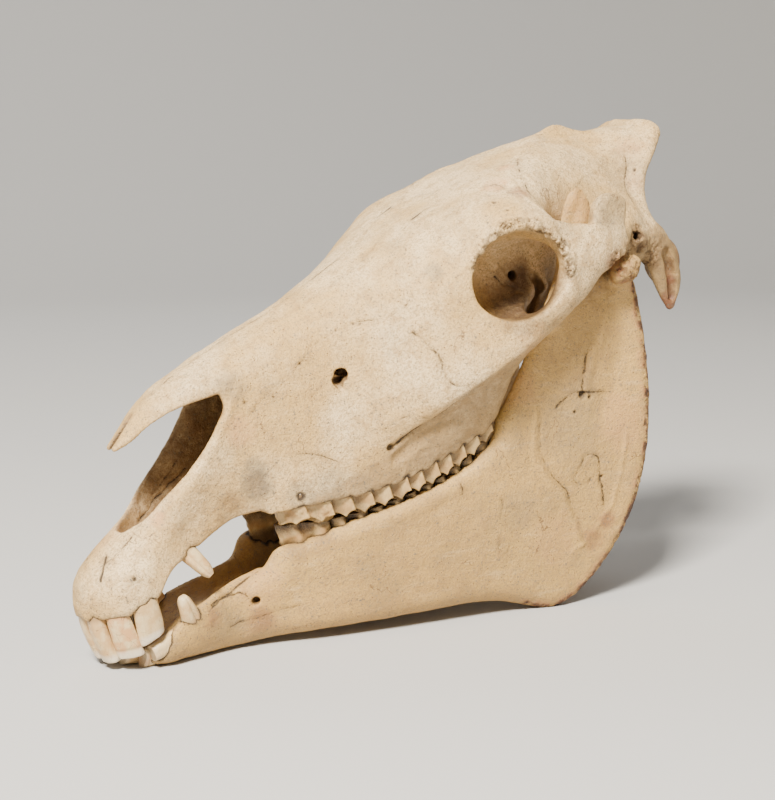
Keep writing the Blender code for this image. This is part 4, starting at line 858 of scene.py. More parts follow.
class Surface:
    """Points and quads of a bone's surface, with named masks for its material."""

    def __init__(self, bone):
        whole = np.concatenate([bone.field[:, :0:-1], bone.field], axis=1)
        close_pinches(whole)
        axes = [bone.axes[0], np.concatenate([-bone.axes[1][:0:-1], bone.axes[1]]), bone.axes[2]]
        self.points, self.faces = surface_net(whole, axes)
        self.keep_largest()
        self.find_edges()
        for _ in range(SMOOTH_ROUNDS):
            self.relax(SMOOTH_IN)
            self.relax(SMOOTH_OUT)
        self.bone = bone
        self.normals = self.find_normals()
        count = len(self.points)
        self.masks = {name: np.zeros(count) for name in
                      ("dirt_and_shade", "grey", "orange", "rust", "brown", "gold", "coarse")}
        self.masks["seam"] = np.full(count, LINE_REACH)

    def keep_largest(self):
        """Drop every closed surface but the largest."""
        a, b = self.edge_ends()
        label = np.arange(len(self.points))
        while True:
            before = label.copy()
            low = np.minimum(label[a], label[b])
            np.minimum.at(label, a, low)
            np.minimum.at(label, b, low)
            label = label[label]
            if np.array_equal(before, label):
                break
        names, counts = np.unique(label, return_counts=True)
        keep = label == names[counts.argmax()]
        number = np.cumsum(keep) - 1
        self.faces = number[self.faces[keep[self.faces[:, 0]]]]
        self.points = self.points[keep]

    def edge_ends(self):
        """First and second point of each edge, once for each quad that it borders."""
        return [np.concatenate([self.faces[:, (i + turn) % 4] for i in range(4)]) for turn in (0, 1)]

    def find_edges(self):
        a, b = self.edge_ends()
        forward = a < b
        self.edge_a, self.edge_b = a[forward], b[forward]
        self.degree = (np.bincount(self.edge_a, minlength=len(self.points))
                       + np.bincount(self.edge_b, minlength=len(self.points)))[:, None]

    def around(self, values):
        """Mean of a value over each point's neighbours."""
        count = len(self.points)
        total = np.zeros((count, values.shape[1]))
        for axis in range(values.shape[1]):
            total[:, axis] = (np.bincount(self.edge_a, values[self.edge_b, axis], count)
                              + np.bincount(self.edge_b, values[self.edge_a, axis], count))
        return total / self.degree

    def relax(self, amount):
        self.points = self.points + amount * (self.around(self.points) - self.points)

    def find_normals(self):
        p = self.points[self.faces]
        cross = np.cross(p[:, 2] - p[:, 0], p[:, 3] - p[:, 1])
        total = np.zeros_like(self.points)
        for axis in range(3):
            for corner in range(4):
                total[:, axis] += np.bincount(self.faces[:, corner], cross[:, axis], len(self.points))
        return total / np.maximum(np.linalg.norm(total, axis=1), 1e-9)[:, None]

    def depth_at(self, points):
        """Distance to the bone at any points, read from its grid."""
        bone = self.bone
        places = np.column_stack([points[:, 0], np.abs(points[:, 1]), points[:, 2]])
        low = np.array([axis[0] for axis in bone.axes])
        size = np.array(bone.field.shape)
        scaled = np.clip((places - low) / bone.step, 0, size - 1.001)
        whole = scaled.astype(int)
        part = (scaled - whole).astype(np.float32)
        total = np.zeros(len(points), np.float32)
        for i, j, k, weight in cell_corners(part):
            total += weight * bone.field[whole[:, 0] + i, whole[:, 1] + j, whole[:, 2] + k]
        return total

    def hollow(self, reach):
        """1 deep in a hollow, 0 on flat or crowned bone."""
        away = self.depth_at(self.points + self.normals * reach)
        return np.clip(1 - away / reach, 0, 1)

    def boxed(self, places, margin):
        """Numbers of the points in a box round the places."""
        low, high = places.min(axis=0) - margin, places.max(axis=0) + margin
        return np.flatnonzero(((self.points > low) & (self.points < high)).all(axis=1))

    def near(self, path, reach):
        """Numbers of the points within reach of a path, and their distances to it."""
        inside = self.boxed(path, reach)
        away = distance_to_path(self.points[inside], path)
        close = away < reach
        return inside[close], away[close]

    def mark(self, name, values, numbers=slice(None)):
        """Raise a mask to the values, at the numbered points or all over."""
        self.masks[name][numbers] = np.maximum(self.masks[name][numbers], values)

    def push(self, amount, numbers=slice(None)):
        """Move points out along their normals, in millimetres."""
        self.points[numbers] += self.normals[numbers] * np.asarray(amount)[:, None]

    def on_surface(self, path, reach=10):
        """The path, moved onto the nearest points of the surface."""
        numbers, _ = self.near(path, reach)
        close = self.points[numbers]
        found = [close[((close - place) ** 2).sum(axis=1).argmin()] for place in path]
        return through(found[::2], 3)

    def draw_lines(self, lines, seed):
        """Sutures, cracks and ridges on both sides, each with its own wobble."""
        shifts = np.column_stack([layered(self.points, 7, seed + axis) for axis in range(3)])
        whole = self.points
        for number, (half, depth, darkness, wobble, points) in enumerate(lines.values()):
            sides = (1,) if max(abs(p[1]) for p in points) < 1 else (-1, 1)
            for side in sides:
                path = self.on_surface(through(np.array(points, float) * (1, side, 1), 5))
                self.points = whole + shifts * wobble
                numbers, away = self.near(path, LINE_REACH + 2 * half)
                self.points = whole
                along = self.points[numbers] / 9 + number
                strength = np.clip(0.8 + 0.5 * noise(along, 1, seed + 5), 0, 1)
                groove = np.exp(-(away / half) ** 2) * strength
                self.push(-depth * groove, numbers)
                whole = self.points
                if darkness:
                    width = away + (1 - darkness * strength) * 1.2
                    self.masks["seam"][numbers] = np.minimum(self.masks["seam"][numbers], width)
                    self.mark("dirt_and_shade", 0.3 * darkness * strength * np.exp(-(away / 2.6) ** 2), numbers)

    def paint(self, patches, seed):
        """Patches of colour with ragged edges."""
        rough = layered(self.points, 6, seed, 3)
        for name, rows in patches.items():
            for radius, strength, place in rows:
                away = np.linalg.norm(self.points - place, axis=1) / radius + 0.2 * rough
                self.mark(name, strength * smooth_step(1.3, 0.5, away))

    def press_pits(self, pits):
        """Pits with dark floors."""
        for radius, depth, place in pits:
            away = np.linalg.norm(self.points - place, axis=1)
            numbers = np.flatnonzero(away < 3 * radius + 2)
            shape = smooth_step(1.35 * radius, 0.5 * radius, away[numbers])
            self.push(-depth * shape, numbers)
            self.mark("dirt_and_shade", 0.95 * smooth_step(1.5 * radius, 0.6 * radius, away[numbers]), numbers)

    def make(self, name, material):
        mesh = bpy.data.meshes.new(name)
        count = len(self.faces)
        mesh.vertices.add(len(self.points))
        mesh.vertices.foreach_set("co", self.points.astype(np.float32).ravel())
        mesh.loops.add(count * 4)
        mesh.loops.foreach_set("vertex_index", self.faces.astype(np.int32).ravel())
        mesh.polygons.add(count)
        mesh.polygons.foreach_set("loop_start", np.arange(0, count * 4, 4, dtype=np.int32))
        mesh.polygons.foreach_set("use_smooth", np.ones(count, bool))
        mesh.update(calc_edges=True)
        mesh.validate()
        add_masks(mesh, self.masks)
        mesh.transform(PLACED)
        # bone on the floor is flat where it lies
        for vertex in mesh.vertices:
            if vertex.co.z < 0:
                vertex.co.z = 0
        mesh.materials.append(material)
        return put(name, mesh)


def carve_cranium(bone):
    """Openings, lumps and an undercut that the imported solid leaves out."""
    # foramen and gap in the wall of the orbit
    bone.cut(rod(((331, 44, 75), (336, 30, 74)), (3.2, 2.6)), 1)
    bone.cut(rod(((345, 48, 70), (347, 42, 58), (339, 40, 47)), (3.0, 4.2, 3.4), (1, 1.6, 1)), 2)
    # opening below the orbit, which faces forward
    bone.add(rod(((192, 31, 64), (188, 34, 67.5)), (4.5, 4)), 0.5)
    bone.cut(rod(((197, 31, 63), (191, 34.5, 66), (186, 38.5, 68.5)), (1.7, 2.0, 1.6)), 1.2)
    bone.cut(rod(((187.5, 39.5, 66), (187.5, 42, 61)), (2.0, 1.0)), 3)
    # ear: crusty tissue round a hole
    bone.add(rod(((419, 52, 64), (425, 55, 62), (430, 53, 58)), (5, 6, 5)), 2)
    bone.cut(rod(((423, 66, 66), (427, 46, 62)), (3.2, 2.4)), 1)
    # hollow on the outside of the paracondylar process
    bone.cut(rod(((452, 49, 40), (453, 47, 22), (451, 43.5, 8)), (4, 4.5, 3)), 1.5)
    # undercut below the facial crest
    bone.cut(rod(((202, 54, 9), (222, 63.5, 16), (242, 68.5, 17), (259, 78.5, 25), (273, 82.5, 28),
                  (288, 83.5, 31)), (3, 5, 5.5, 6, 6, 4)), 4)
    # bone between the sockets of the incisors
    for x, y in ((7, 0), (11, 11.5), (21, 20.5)):
        bone.add(rod(((x, y, 6), (x - 4, y * 1.06, -6), (x - 5.5, y * 1.1, -12)), (4.5, 3, 1.6)), 2)


def detail_cranium(surface, teeth):
    """Relief and masks of the cranium, from broad to fine."""
    points = surface.points
    x, y, z = points.T
    # painted shade: darker deep in narrow hollows, gold and brown deep in wide ones
    surface.mark("dirt_and_shade", 0.7 * smooth_step(0.4, 0.95, surface.hollow(5.0)))
    hollow = surface.hollow(16.0)
    surface.mark("gold", smooth_step(0.2, 0.7, hollow))
    surface.mark("brown", 0.9 * smooth_step(0.6, 1.0, hollow))
    surface.push(0.35 * layered(points, 16, 11, 3) + 0.12 * layered(points, 3, 15, 2))
    # painted shade: gold on bone that faces down
    under = smooth_step(0.0, -0.8, surface.normals[:, 2])
    surface.mark("gold", 0.55 * under)
    # painted shade: brown on the inner walls of the nose, and brown and dark low down inside the orbits
    inward = smooth_step(0.2, -0.3, surface.normals[:, 1] * np.sign(y))
    nose = (np.abs(y) < 29) & (x > 36) & (x < 245)
    nose &= (z > 24) & (z < 103)
    surface.mark("brown", 0.8 * inward * nose)
    orbit = np.linalg.norm((points * (1, 0, 1) - ORBIT_MIDDLE) / ORBIT_REACH, axis=1)
    deep = smooth_step(96, 82, np.abs(y)) * smooth_step(1.25, 1.0, orbit)
    deep = deep * smooth_step(30, 36, np.abs(y))
    surface.masks["gold"] = surface.masks["gold"] * (1 - deep) + 0.1 * deep
    low = smooth_step(88, 58, z - 0.35 * (x - 310))
    surface.masks["brown"] = np.maximum(surface.masks["brown"] * (1 - deep), deep * low)
    surface.mark("dirt_and_shade", 0.6 * deep * low ** 3)
    # tan bone between the crest and the teeth, on the underside of the arch and at the base: the bone's own
    # tan there, with painted shade in gold and grey
    below = smooth_step(2.5, -2.5, z - height_on(CREST_HEIGHT, x)) * smooth_step(100, 125, x)
    surface.mark("gold", 0.9 * below)
    surface.mark("grey", 0.3 * below)
    # crusty rim of the orbit
    for _, rim in mirrored(ORBIT_RIM):
        numbers, away = surface.near(through(rim, 5), 9)
        near = smooth_step(6.5, 2.0, away + 1.2 * noise(points[numbers], 4, 31))
        grains = noise(points[numbers], 2.2, 33) + 0.6 * noise(points[numbers], 4, 34)
        surface.push(near * (0.7 + 1.5 * grains), numbers)
        surface.mark("coarse", near, numbers)
        inner = np.linalg.norm(points[numbers] * (1, 0, 1) - ORBIT_RIM_MIDDLE, axis=1)
        inner = smooth_step(29, 26, inner)
        surface.mark("dirt_and_shade", near * (0.55 + 0.45 * inner) * smooth_step(0.4, -0.15, grains), numbers)
    for place, radius, rough in CRUST_SPOTS:
        for _, centre in mirrored(place):
            away = np.linalg.norm(points - centre, axis=1)
            numbers = np.flatnonzero(away < 1.4 * radius)
            near = smooth_step(1.3 * radius, 0.6 * radius, away[numbers] + 2 * noise(points[numbers], 5, 41))
            grains = noise(points[numbers], 3.2, 42) + 0.7 * noise(points[numbers], 1.7, 43)
            surface.push(rough * near * grains, numbers)
            surface.mark("coarse", near, numbers)
            surface.mark("gold", 0.8 * near, numbers)
            surface.mark("dirt_and_shade", 0.6 * near * smooth_step(0.0, -0.9, grains), numbers)
    # rough lip along the nuchal crest
    crest = smooth_step(474, 486, x) * smooth_step(96, 110, z)
    surface.push(0.45 * crest * layered(points, 4, 51, 2))
    surface.mark("coarse", 0.5 * crest)
    # grainy bone above the sockets of the upper teeth
    row = smooth_step(26, 6, z) * smooth_step(112, 130, x)
    row = row * smooth_step(292, 270, x) * smooth_step(20, 28, np.abs(y))
    surface.push(0.25 * row * layered(points, 4, 61, 3))
    surface.mark("coarse", 0.3 * row)
    surface.draw_lines(CRANIUM_LINES, 71)
    surface.press_pits(CRANIUM_PITS)
    surface.paint(CRANIUM_PATCHES, 81)
    settle_gums(surface, teeth)


def detail_mandible(surface, teeth):
    """Relief and masks of the lower jaw."""
    points = surface.points
    x, y, z = points.T
    # painted shade: darker deep in hollows, gold on bone that faces down, and gold and brown on the inner
    # faces low down
    surface.mark("dirt_and_shade", 0.6 * smooth_step(0.4, 0.95, surface.hollow(5.0)))
    surface.mark("brown", 0.6 * smooth_step(0.35, 1.0, surface.hollow(14.0)))
    surface.mark("gold", 0.5 * smooth_step(0.1, -0.7, surface.normals[:, 2]))
    inward = smooth_step(0.0, -0.6, surface.normals[:, 1] * np.sign(y))
    surface.mark("gold", 0.6 * inward * (z < 70))
    surface.mark("brown", 0.3 * inward * (z < 70))
    surface.push(0.3 * layered(points, 16, 111, 3) + 0.07 * layered(points, 3, 115, 2))
    for side, line in mirrored(RAMUS_HOLLOW):
        numbers, away = surface.near(through(line, 5), 20)
        outer = smooth_step(0, 0.5, surface.normals[numbers, 1] * side)
        surface.push(-1.3 * outer * np.exp(-(away / 8) ** 2), numbers)
    for _, centre in mirrored(CONDYLE_KNOB):
        away = np.linalg.norm(points - centre, axis=1)
        near = smooth_step(15, 8, away + 2 * noise(points, 5, 125))
        grains = noise(points, 3.2, 126) + 0.7 * noise(points, 1.8, 127)
        surface.push(0.9 * near * grains)
        surface.mark("coarse", near)
        surface.mark("gold", 0.9 * near)
        front = smooth_step(392, 380, x)
        surface.mark("rust", near * (0.3 + 0.6 * front) * smooth_step(0.5, -0.4, grains))
        surface.mark("brown", 0.5 * near * front)
    # rust coloured, crusty line along the rear edge and the angle
    rim = np.array(JAW_OUTLINE[JAW_REAR], float)
    outer = jaw_middle(rim[:, 0], rim[:, 1]) + 6
    for _, path in mirrored(np.column_stack([rim[:, 0] - 3.5, outer, rim[:, 1]])):
        numbers, away = surface.near(surface.on_surface(through(path, 8)), 9)
        away = away + 1.3 * noise(points[numbers], 4, 128)
        near = smooth_step(5.5, 1.5, away)
        streak = smooth_step(-0.5, 0.5, layered(points[numbers], 5, 123, 3))
        surface.push(0.5 * near * layered(points[numbers], 3, 121, 2), numbers)
        surface.mark("coarse", near, numbers)
        surface.mark("orange", smooth_step(9, 3, away) * streak, numbers)
        surface.mark("rust", near * streak, numbers)
        surface.mark("dirt_and_shade", 0.8 * smooth_step(3.6, 1.2, away) * streak, numbers)
    surface.draw_lines(MANDIBLE_LINES, 131)
    surface.press_pits(MANDIBLE_PITS)
    surface.paint(MANDIBLE_PATCHES, 141)
    settle_gums(surface, teeth)


def settle_gums(surface, teeth):
    """Narrow dark gap in the bone round each tooth: a groove, darkened with dirt and painted shade."""
    places = np.array([vertex.co[:] for tooth in teeth for vertex in tooth.data.vertices])
    places = places[surface.depth_at(places) > -0.6]
    tree = KDTree(len(places))
    for number, place in enumerate(places):
        tree.insert(place, number)
    tree.balance()
    inside = surface.boxed(places, 3)
    away = np.array([tree.find(surface.points[n])[2] for n in inside])
    close = away < 5
    numbers, away = inside[close], away[close]
    surface.push(-0.9 * np.exp(-(away / 1.1) ** 2), numbers)
    spread = np.where(surface.points[numbers, 0] > 110, 0.42, 0.75)
    surface.masks["seam"][numbers] = np.minimum(surface.masks["seam"][numbers], spread * away)
    surface.mark("dirt_and_shade", 0.85 * smooth_step(1.9, 0.8, away), numbers)
    surface.mark("dirt_and_shade", 0.35 * smooth_step(4.5, 1.0, away + noise(surface.points[numbers], 3, 151)), numbers)


def node(tree, kind, **settings):
    """Shader node with its settings, given as sockets or as properties."""
    made = tree.nodes.new(kind)
    for key, value in settings.items():
        name = key.replace("_", " ")
        if name in made.inputs:
            made.inputs[name].default_value = value
        else:
            setattr(made, key, value)
    return made


class Paint:
    """Wires the nodes of one material, whose sizes are in millimetres of the placed skull."""

    def __init__(self, name):
        self.material = bpy.data.materials.new(name)
        self.material.use_nodes = True
        self.tree = self.material.node_tree
        self.shader = self.tree.nodes["Principled BSDF"]
        place = node(self.tree, "ShaderNodeTexCoord")
        scale = node(self.tree, "ShaderNodeMapping")
        scale.inputs["Scale"].default_value = (1 / MM, 1 / MM, 1 / MM)
        self.tree.links.new(place.outputs["Object"], scale.inputs["Vector"])
        self.place = scale.outputs["Vector"]

    def link(self, out, socket):
        self.tree.links.new(out, socket)

    def noise(self, size, detail=3.0, roughness=0.55, stretch=None, distortion=0.0):
        """Noise with lumps of about the size in millimetres, 0 to 1."""
        made = node(self.tree, "ShaderNodeTexNoise", Scale=1 / size, Detail=detail, Roughness=roughness,
                    Distortion=distortion)
        place = self.place
        if stretch:
            bent = node(self.tree, "ShaderNodeMapping")
            bent.inputs["Scale"].default_value = stretch
            bent.inputs["Rotation"].default_value = (0, math.radians(PITCH), 0)
            self.link(place, bent.inputs["Vector"])
            place = bent.outputs["Vector"]
        self.link(place, made.inputs["Vector"])
        return made.outputs["Fac"]

    def cells(self, size, feature, output, jitter=None):
        """Cells of about the size in millimetres, bent by up to the jitter."""
        made = node(self.tree, "ShaderNodeTexVoronoi", feature=feature, Scale=1 / size)
        place = self.place
        if jitter is not None:
            moved = node(self.tree, "ShaderNodeVectorMath", operation="MULTIPLY_ADD")
            moved.inputs[1].default_value = (jitter, jitter, jitter)
            source = node(self.tree, "ShaderNodeTexNoise", Scale=JITTER_SCALE, Detail=3)
            self.link(place, source.inputs["Vector"])
            self.link(source.outputs["Color"], moved.inputs[0])
            self.link(place, moved.inputs[2])
            place = moved.outputs["Vector"]
        self.link(place, made.inputs["Vector"])
        return made.outputs[output]

    def ramp(self, value, low, high, to_low=0.0, to_high=1.0):
        """Smooth change from one value to another."""
        made = node(self.tree, "ShaderNodeMapRange", interpolation_type="SMOOTHSTEP", clamp=True)
        self.link(value, made.inputs["Value"])
        for name, number in (("From Min", low), ("From Max", high), ("To Min", to_low), ("To Max", to_high)):
            made.inputs[name].default_value = number
        return made.outputs["Result"]

    def math(self, operation, a, b):
        made = node(self.tree, "ShaderNodeMath", operation=operation)
        for socket, value in zip(made.inputs, (a, b)):
            if isinstance(value, (int, float)):
                socket.default_value = value
            else:
                self.link(value, socket)
        return made.outputs["Value"]

    def mask(self, name):
        return node(self.tree, "ShaderNodeAttribute", attribute_name=name).outputs["Fac"]

    def mix(self, amount, a, b, blend="MIX"):
        made = node(self.tree, "ShaderNodeMix", data_type="RGBA", blend_type=blend)
        if isinstance(amount, (int, float)):
            made.inputs[0].default_value = amount
        else:
            self.link(amount, made.inputs[0])
        for socket, value in ((made.inputs[6], a), (made.inputs[7], b)):
            if isinstance(value, tuple):
                socket.default_value = (*value, 1)
            else:
                self.link(value, socket)
        return made.outputs[2]

    def times(self, value, *factors):
        for factor in factors:
            value = self.math("MULTIPLY", value, factor)
        return value

    def over(self, tint, *amounts):
        """Lay a tint over the colour so far, as strongly as the product of the amounts."""
        self.colour = self.mix(self.times(*amounts), self.colour, tint)

    def finish(self, roughness, *reliefs):
        """Wire the shader: colour, roughness and relief in layers of (height, depth in mm, strength)."""
        normal = None
        for height, depth, strength in reliefs:
            bump = node(self.tree, "ShaderNodeBump", Strength=strength, Distance=depth * MM)
            self.link(height, bump.inputs["Height"])
            if normal is not None:
                self.link(normal, bump.inputs["Normal"])
            normal = bump.outputs["Normal"]
        for name, out in (("Base Color", self.colour), ("Roughness", roughness), ("Normal", normal)):
            self.link(out, self.shader.inputs[name])
        return self.material


def bone_material(name, light, deep):
    """Dry bone: mottled cream, pores, hairline cracks, seams, stains, dirt and painted shade."""
    paint = Paint(name)
    broad, mottle, fine = paint.noise(60, 4), paint.noise(9, 7, 0.7), paint.noise(1.6, 4, 0.7)
    coarse = paint.mask("coarse")
    paint.colour = paint.mix(paint.ramp(broad, 0.36, 0.66), light, deep)
    for value, low, high, most, tint in (
            (paint.noise(26, 6, 0.65), 0.5, 0.68, 0.3, GREY), (mottle, 0.47, 0.66, 0.6, TAN),
            (paint.noise(5, 4, 0.6, (0.16, 1, 1)), 0.52, 0.8, 0.35, IVORY),
            (fine, 0.45, 0.62, 0.62, TAN), (paint.noise(0.8, 3, 0.6), 0.53, 0.66, 0.4, GREY)):
        paint.over(tint, paint.ramp(value, low, high, 0, most))
    # stains and painted shade from the masks, each broken up by noise
    for mask, tint, amount in (("gold", GOLD, 0.75), ("orange", ORANGE, 0.6), ("grey", GREY, 0.75),
                               ("brown", BROWN, 0.85), ("rust", RUST, 0.85)):
        paint.over(tint, paint.mask(mask), paint.ramp(mottle, 0.25, 0.62, 0.55, 1.15), amount)
    # pores: few on smooth bone, many on coarse bone
    lot = node(paint.tree, "ShaderNodeSeparateColor")
    paint.link(paint.cells(PORE_SPACING, "F1", "Color"), lot.inputs[0])
    chance = paint.math("ADD", paint.ramp(broad, 0.42, 0.62, 0.04, 0.2), paint.times(coarse, 0.4))
    pores = paint.times(paint.ramp(paint.cells(PORE_SPACING, "F1", "Distance"), 0.3, 0.12),
                        paint.math("LESS_THAN", lot.outputs[0], chance))
    paint.over(BROWN, pores, 0.75)
    specks = paint.ramp(paint.noise(1.5, 3, 0.6), 0.58, 0.66)
    paint.over(GREY, specks, paint.ramp(mottle, 0.4, 0.6, 0.4, 1.0))
    scratches = paint.ramp(paint.noise(2.2, 4, 0.75, (0.1, 1, 1), 1.5), 0.6, 0.72)
    paint.over(TAN, scratches, paint.ramp(broad, 0.35, 0.6, 0.15, 0.6))
    # crusty bone: grains with dark gaps
    grains = paint.times(paint.ramp(paint.cells(GRAIN_SPACING, "F1", "Distance", 5.0), 0.4, 0.8),
                         paint.ramp(coarse, 0.45, 0.9), paint.ramp(mottle, 0.4, 0.62))
    paint.over(BROWN, grains, 0.75)
    # hairline cracks in places
    cracks = paint.ramp(paint.cells(CRACK_SPACING, "DISTANCE_TO_EDGE", "Distance", 14.0), 0.012, 0.004)
    paint.over(BROWN, cracks, paint.ramp(paint.noise(22, 2), 0.6, 0.67), 0.7)
    # sutures and cracks drawn along named lines, and dirt with painted shade
    seam = paint.math("ADD", paint.mask("seam"), paint.ramp(fine, 0.3, 0.7, -0.25, 0.35))
    seam = paint.ramp(seam, 1.2, 0.45)
    paint.over(DIRT_AND_SHADE, seam, 0.92)
    paint.over(DIRT_AND_SHADE, paint.mask("dirt_and_shade"), paint.ramp(fine, 0.25, 0.65, 0.6, 1.15), 0.9)
    paint.shader.inputs["IOR"].default_value = BONE_IOR
    rough = paint.math("ADD", paint.ramp(mottle, 0.3, 0.7, 0.48, 0.62), paint.times(coarse, 0.2))
    grains, pores, seam = (paint.math("SUBTRACT", 1.0, gap) for gap in (grains, pores, seam))
    return paint.finish(rough, (fine, 0.8, 0.9), (mottle, 1.6, 0.7), (grains, 1.1, 0.9),
                        (pores, 0.5, 0.7), (seam, 0.6, 0.7))


def tooth_material(name, light, deep, tip, roughness):
    """Worn tooth: cement over enamel, striped along the crown, dark at the gum, darkened by dirt and painted
    shade from a mask, and pale at the edge.
    """
    paint = Paint(name)
    broad, fine = paint.noise(8, 4), paint.noise(0.7, 3, 0.6)
    stripes = paint.noise(1.3, 4, 0.6, (1, 1, 0.12))
    paint.colour = paint.mix(paint.ramp(broad, 0.38, 0.64), light, deep)
    paint.over(TAN, paint.ramp(stripes, 0.5, 0.75, 0, 0.45))
    paint.over(ORANGE, paint.ramp(broad, 0.4, 0.6), paint.mask("warm"))
    paint.over(tip, paint.mask("worn"), 0.8)
    paint.over(BROWN, paint.ramp(paint.mask("height"), 0.42, 0.3, 0, 0.6))
    cracks = paint.ramp(paint.cells(TOOTH_CRACK_SPACING, "DISTANCE_TO_EDGE", "Distance", 5.0), 0.02, 0.006)
    paint.over(BROWN, cracks, paint.ramp(paint.noise(6, 2), 0.5, 0.6), 0.6)
    # dirt, and painted shade in the folds and over the lower cheek teeth
    paint.over(DIRT_AND_SHADE, paint.mask("dirt_and_shade"), paint.ramp(fine, 0.2, 0.7, 0.6, 1.1))
    rough = paint.ramp(broad, 0.3, 0.7, roughness - 0.08, roughness + 0.1)
    return paint.finish(rough, (stripes, 0.5, 0.45), (fine, 0.2, 0.4))


def skin(name, rings, masks):
    """Closed piece through fine rings, domed at its end, with masks for its material."""
    rings = np.array(rings)
    levels, around = rings.shape[:2]
    points = np.vstack([rings.reshape(-1, 3), rings[0].mean(axis=0)[None], rings[-1].mean(axis=0)[None]])
    faces = []
    for level in range(levels - 1):
        for i in range(around):
            j = (i + 1) % around
            low = level * around
            faces.append((low + i, low + j, low + around + j, low + around + i))
    first, last = levels * around, levels * around + 1
    for i in range(around):
        j = (i + 1) % around
        faces.append((j, i, first))
        faces.append(((levels - 1) * around + i, (levels - 1) * around + j, last))
    mesh = bpy.data.meshes.new(name)
    mesh.from_pydata(points.tolist(), [], faces)
    fixed = bmesh.new()
    fixed.from_mesh(mesh)
    bmesh.ops.recalc_face_normals(fixed, faces=fixed.faces)
    fixed.to_mesh(mesh)
    fixed.free()
    mesh.polygons.foreach_set("use_smooth", np.ones(len(mesh.polygons), bool))
    add_masks(mesh, {label: np.append(values.ravel(), [values[0].mean(), values[-1].mean()])
                     for label, values in masks.items()})
    return bpy.data.objects.new(name, mesh)


# Outline of an upper cheek tooth from above, as parts of its length and width: it swells towards a
# ridge at its middle and one at its rear, and drops off sharply behind each.
FOLDED_PLAN = ((-0.5, 0.3), (-0.46, 0.335), (-0.38, 0.365), (-0.28, 0.4), (-0.18, 0.445), (-0.1, 0.49),
    (-0.055, 0.5), (-0.015, 0.465), (0.025, 0.37), (0.08, 0.33), (0.16, 0.345), (0.26, 0.38), (0.36, 0.435),
    (0.44, 0.49), (0.48, 0.495), (0.5, 0.4), (0.5, 0), (0.47, -0.36), (0.2, -0.5), (-0.1, -0.42),
    (-0.46, -0.4), (-0.5, 0))
# Lowest places of the worn edge along a tooth, and how far it rises between them.
CUSPS = (-0.27, 0.23)
CUSP_REACH = 0.22
CUSP_RISE = 4.0


def closed_curve(plan, per_span):
    """Smooth closed curve through the points of a plan."""
    plan = np.array(plan, float)
    return through(np.vstack([plan[-2:], plan, plan[:2]]), per_span)[2 * per_span:-per_span - 1]


# Rounder section of a front tooth, in parts of its width and thickness.
ROUND_PLAN = ((-0.5, -0.08), (-0.465, 0.16), (-0.35, 0.35), (-0.18, 0.465), (0, 0.5), (0.18, 0.465),
    (0.35, 0.35), (0.465, 0.16), (0.5, -0.08), (0.34, -0.45), (-0.34, -0.45))


# How orange each front tooth is.
WARMTH = {"i1": 0.2, "i2": 0.75, "i3": 0.1, "canine": 0.3}


def cheek_crown(name, number, centre, length, sockets, plan, width, inset, side, up):
    """Cheek tooth with folded sides, a lumpy coat of cement and a scalloped worn edge."""
    curve = closed_curve(plan, 7)
    wide = width * (END_TOOTH_PART if number in (0, len(CHEEK_LENGTHS) - 1) else 1)
    outer = height_on(ROW_WIDTH, centre) - inset
    heading = (height_on(ROW_WIDTH, centre + 5) - height_on(ROW_WIDTH, centre - 5)) / 10
    u, v = curve[:, 0], curve[:, 1].copy()
    if number == 0:
        v = v * smooth_step(-0.62, -0.1, u) + 0.12 * (1 - smooth_step(-0.62, -0.1, u)) * np.sign(v)
    x = centre + u * (length - TOOTH_GAP)
    root = height_on(sockets, x) + up * ROOT_DEPTH
    edge = height_on(WEAR_SURFACE, x) + up * WEAR_GAP / 2
    from_cusp = np.minimum(np.abs(u - CUSPS[0]), np.abs(u - CUSPS[1])) / CUSP_REACH
    rise = CUSP_RISE * (1 - np.clip(1 - from_cusp, 0, 1) ** 2) * smooth_step(0.1, 0.35, v)
    edge = edge + rise * (1 if up > 0 else -0.15)
    rings, heights, dirt_and_shade = [], [], []
    for level in range(CHEEK_STEPS + CHEEK_CAPS):
        t = min(level / CHEEK_STEPS, 1)
        past = max(level - CHEEK_STEPS, 0)
        close = 1 - 0.05 * past ** 1.6
        bulge = 1 + 0.025 * math.sin(math.pi * t) - 0.03 * (1 - t)
        y = outer - wide / 2 + (v * wide) * bulge * close + heading * (x - centre)
        spread = centre + (x - centre) * close
        z = root + (edge - root) * t - up * 0.12 * past
        ring = np.column_stack([spread, side * y, z])
        lump = (1.1 if number == 0 else 0.28) * noise(ring, (3.5, 3.5, 4), 201 + number)
        lump = lump + (0.45 if number == 0 else 0.16) * noise(ring, (1.5, 1.5, 2), 211)
        away = np.column_stack([u * 0.4, side * v, 0 * u])
        away /= np.maximum(np.linalg.norm(away, axis=1), 1e-6)[:, None]
        rings.append(ring + away * lump[:, None] * (1 if level < CHEEK_STEPS else 0.3))
        heights.append(np.full(len(u), t))
        # dark mask: painted shade in the folds of the outer face and over the upper part of the lower teeth,
        # which lie under the upper row; also darker near the root and on the worn cap
        fold = smooth_step(0.44, 0.33, np.abs(v)) * (v > 0) * (0.6 if number else 0.25)
        dirt_and_shade.append(fold + 0.6 * smooth_step(0.56, 0.4, t) + 0.5 * (past > 0)
                    + (smooth_step(0.5, 0.95, t) * 0.75 if inset else 0))
    heights, dirt_and_shade = np.array(heights), np.clip(np.array(dirt_and_shade), 0, 1)
    masks = {"height": heights, "dirt_and_shade": dirt_and_shade, "worn": 0.7 * smooth_step(0.93, 1.0, heights),
             "warm": np.full(heights.shape, 0.3 if number == 0 else 0.15)}
    return skin(name, rings, masks)


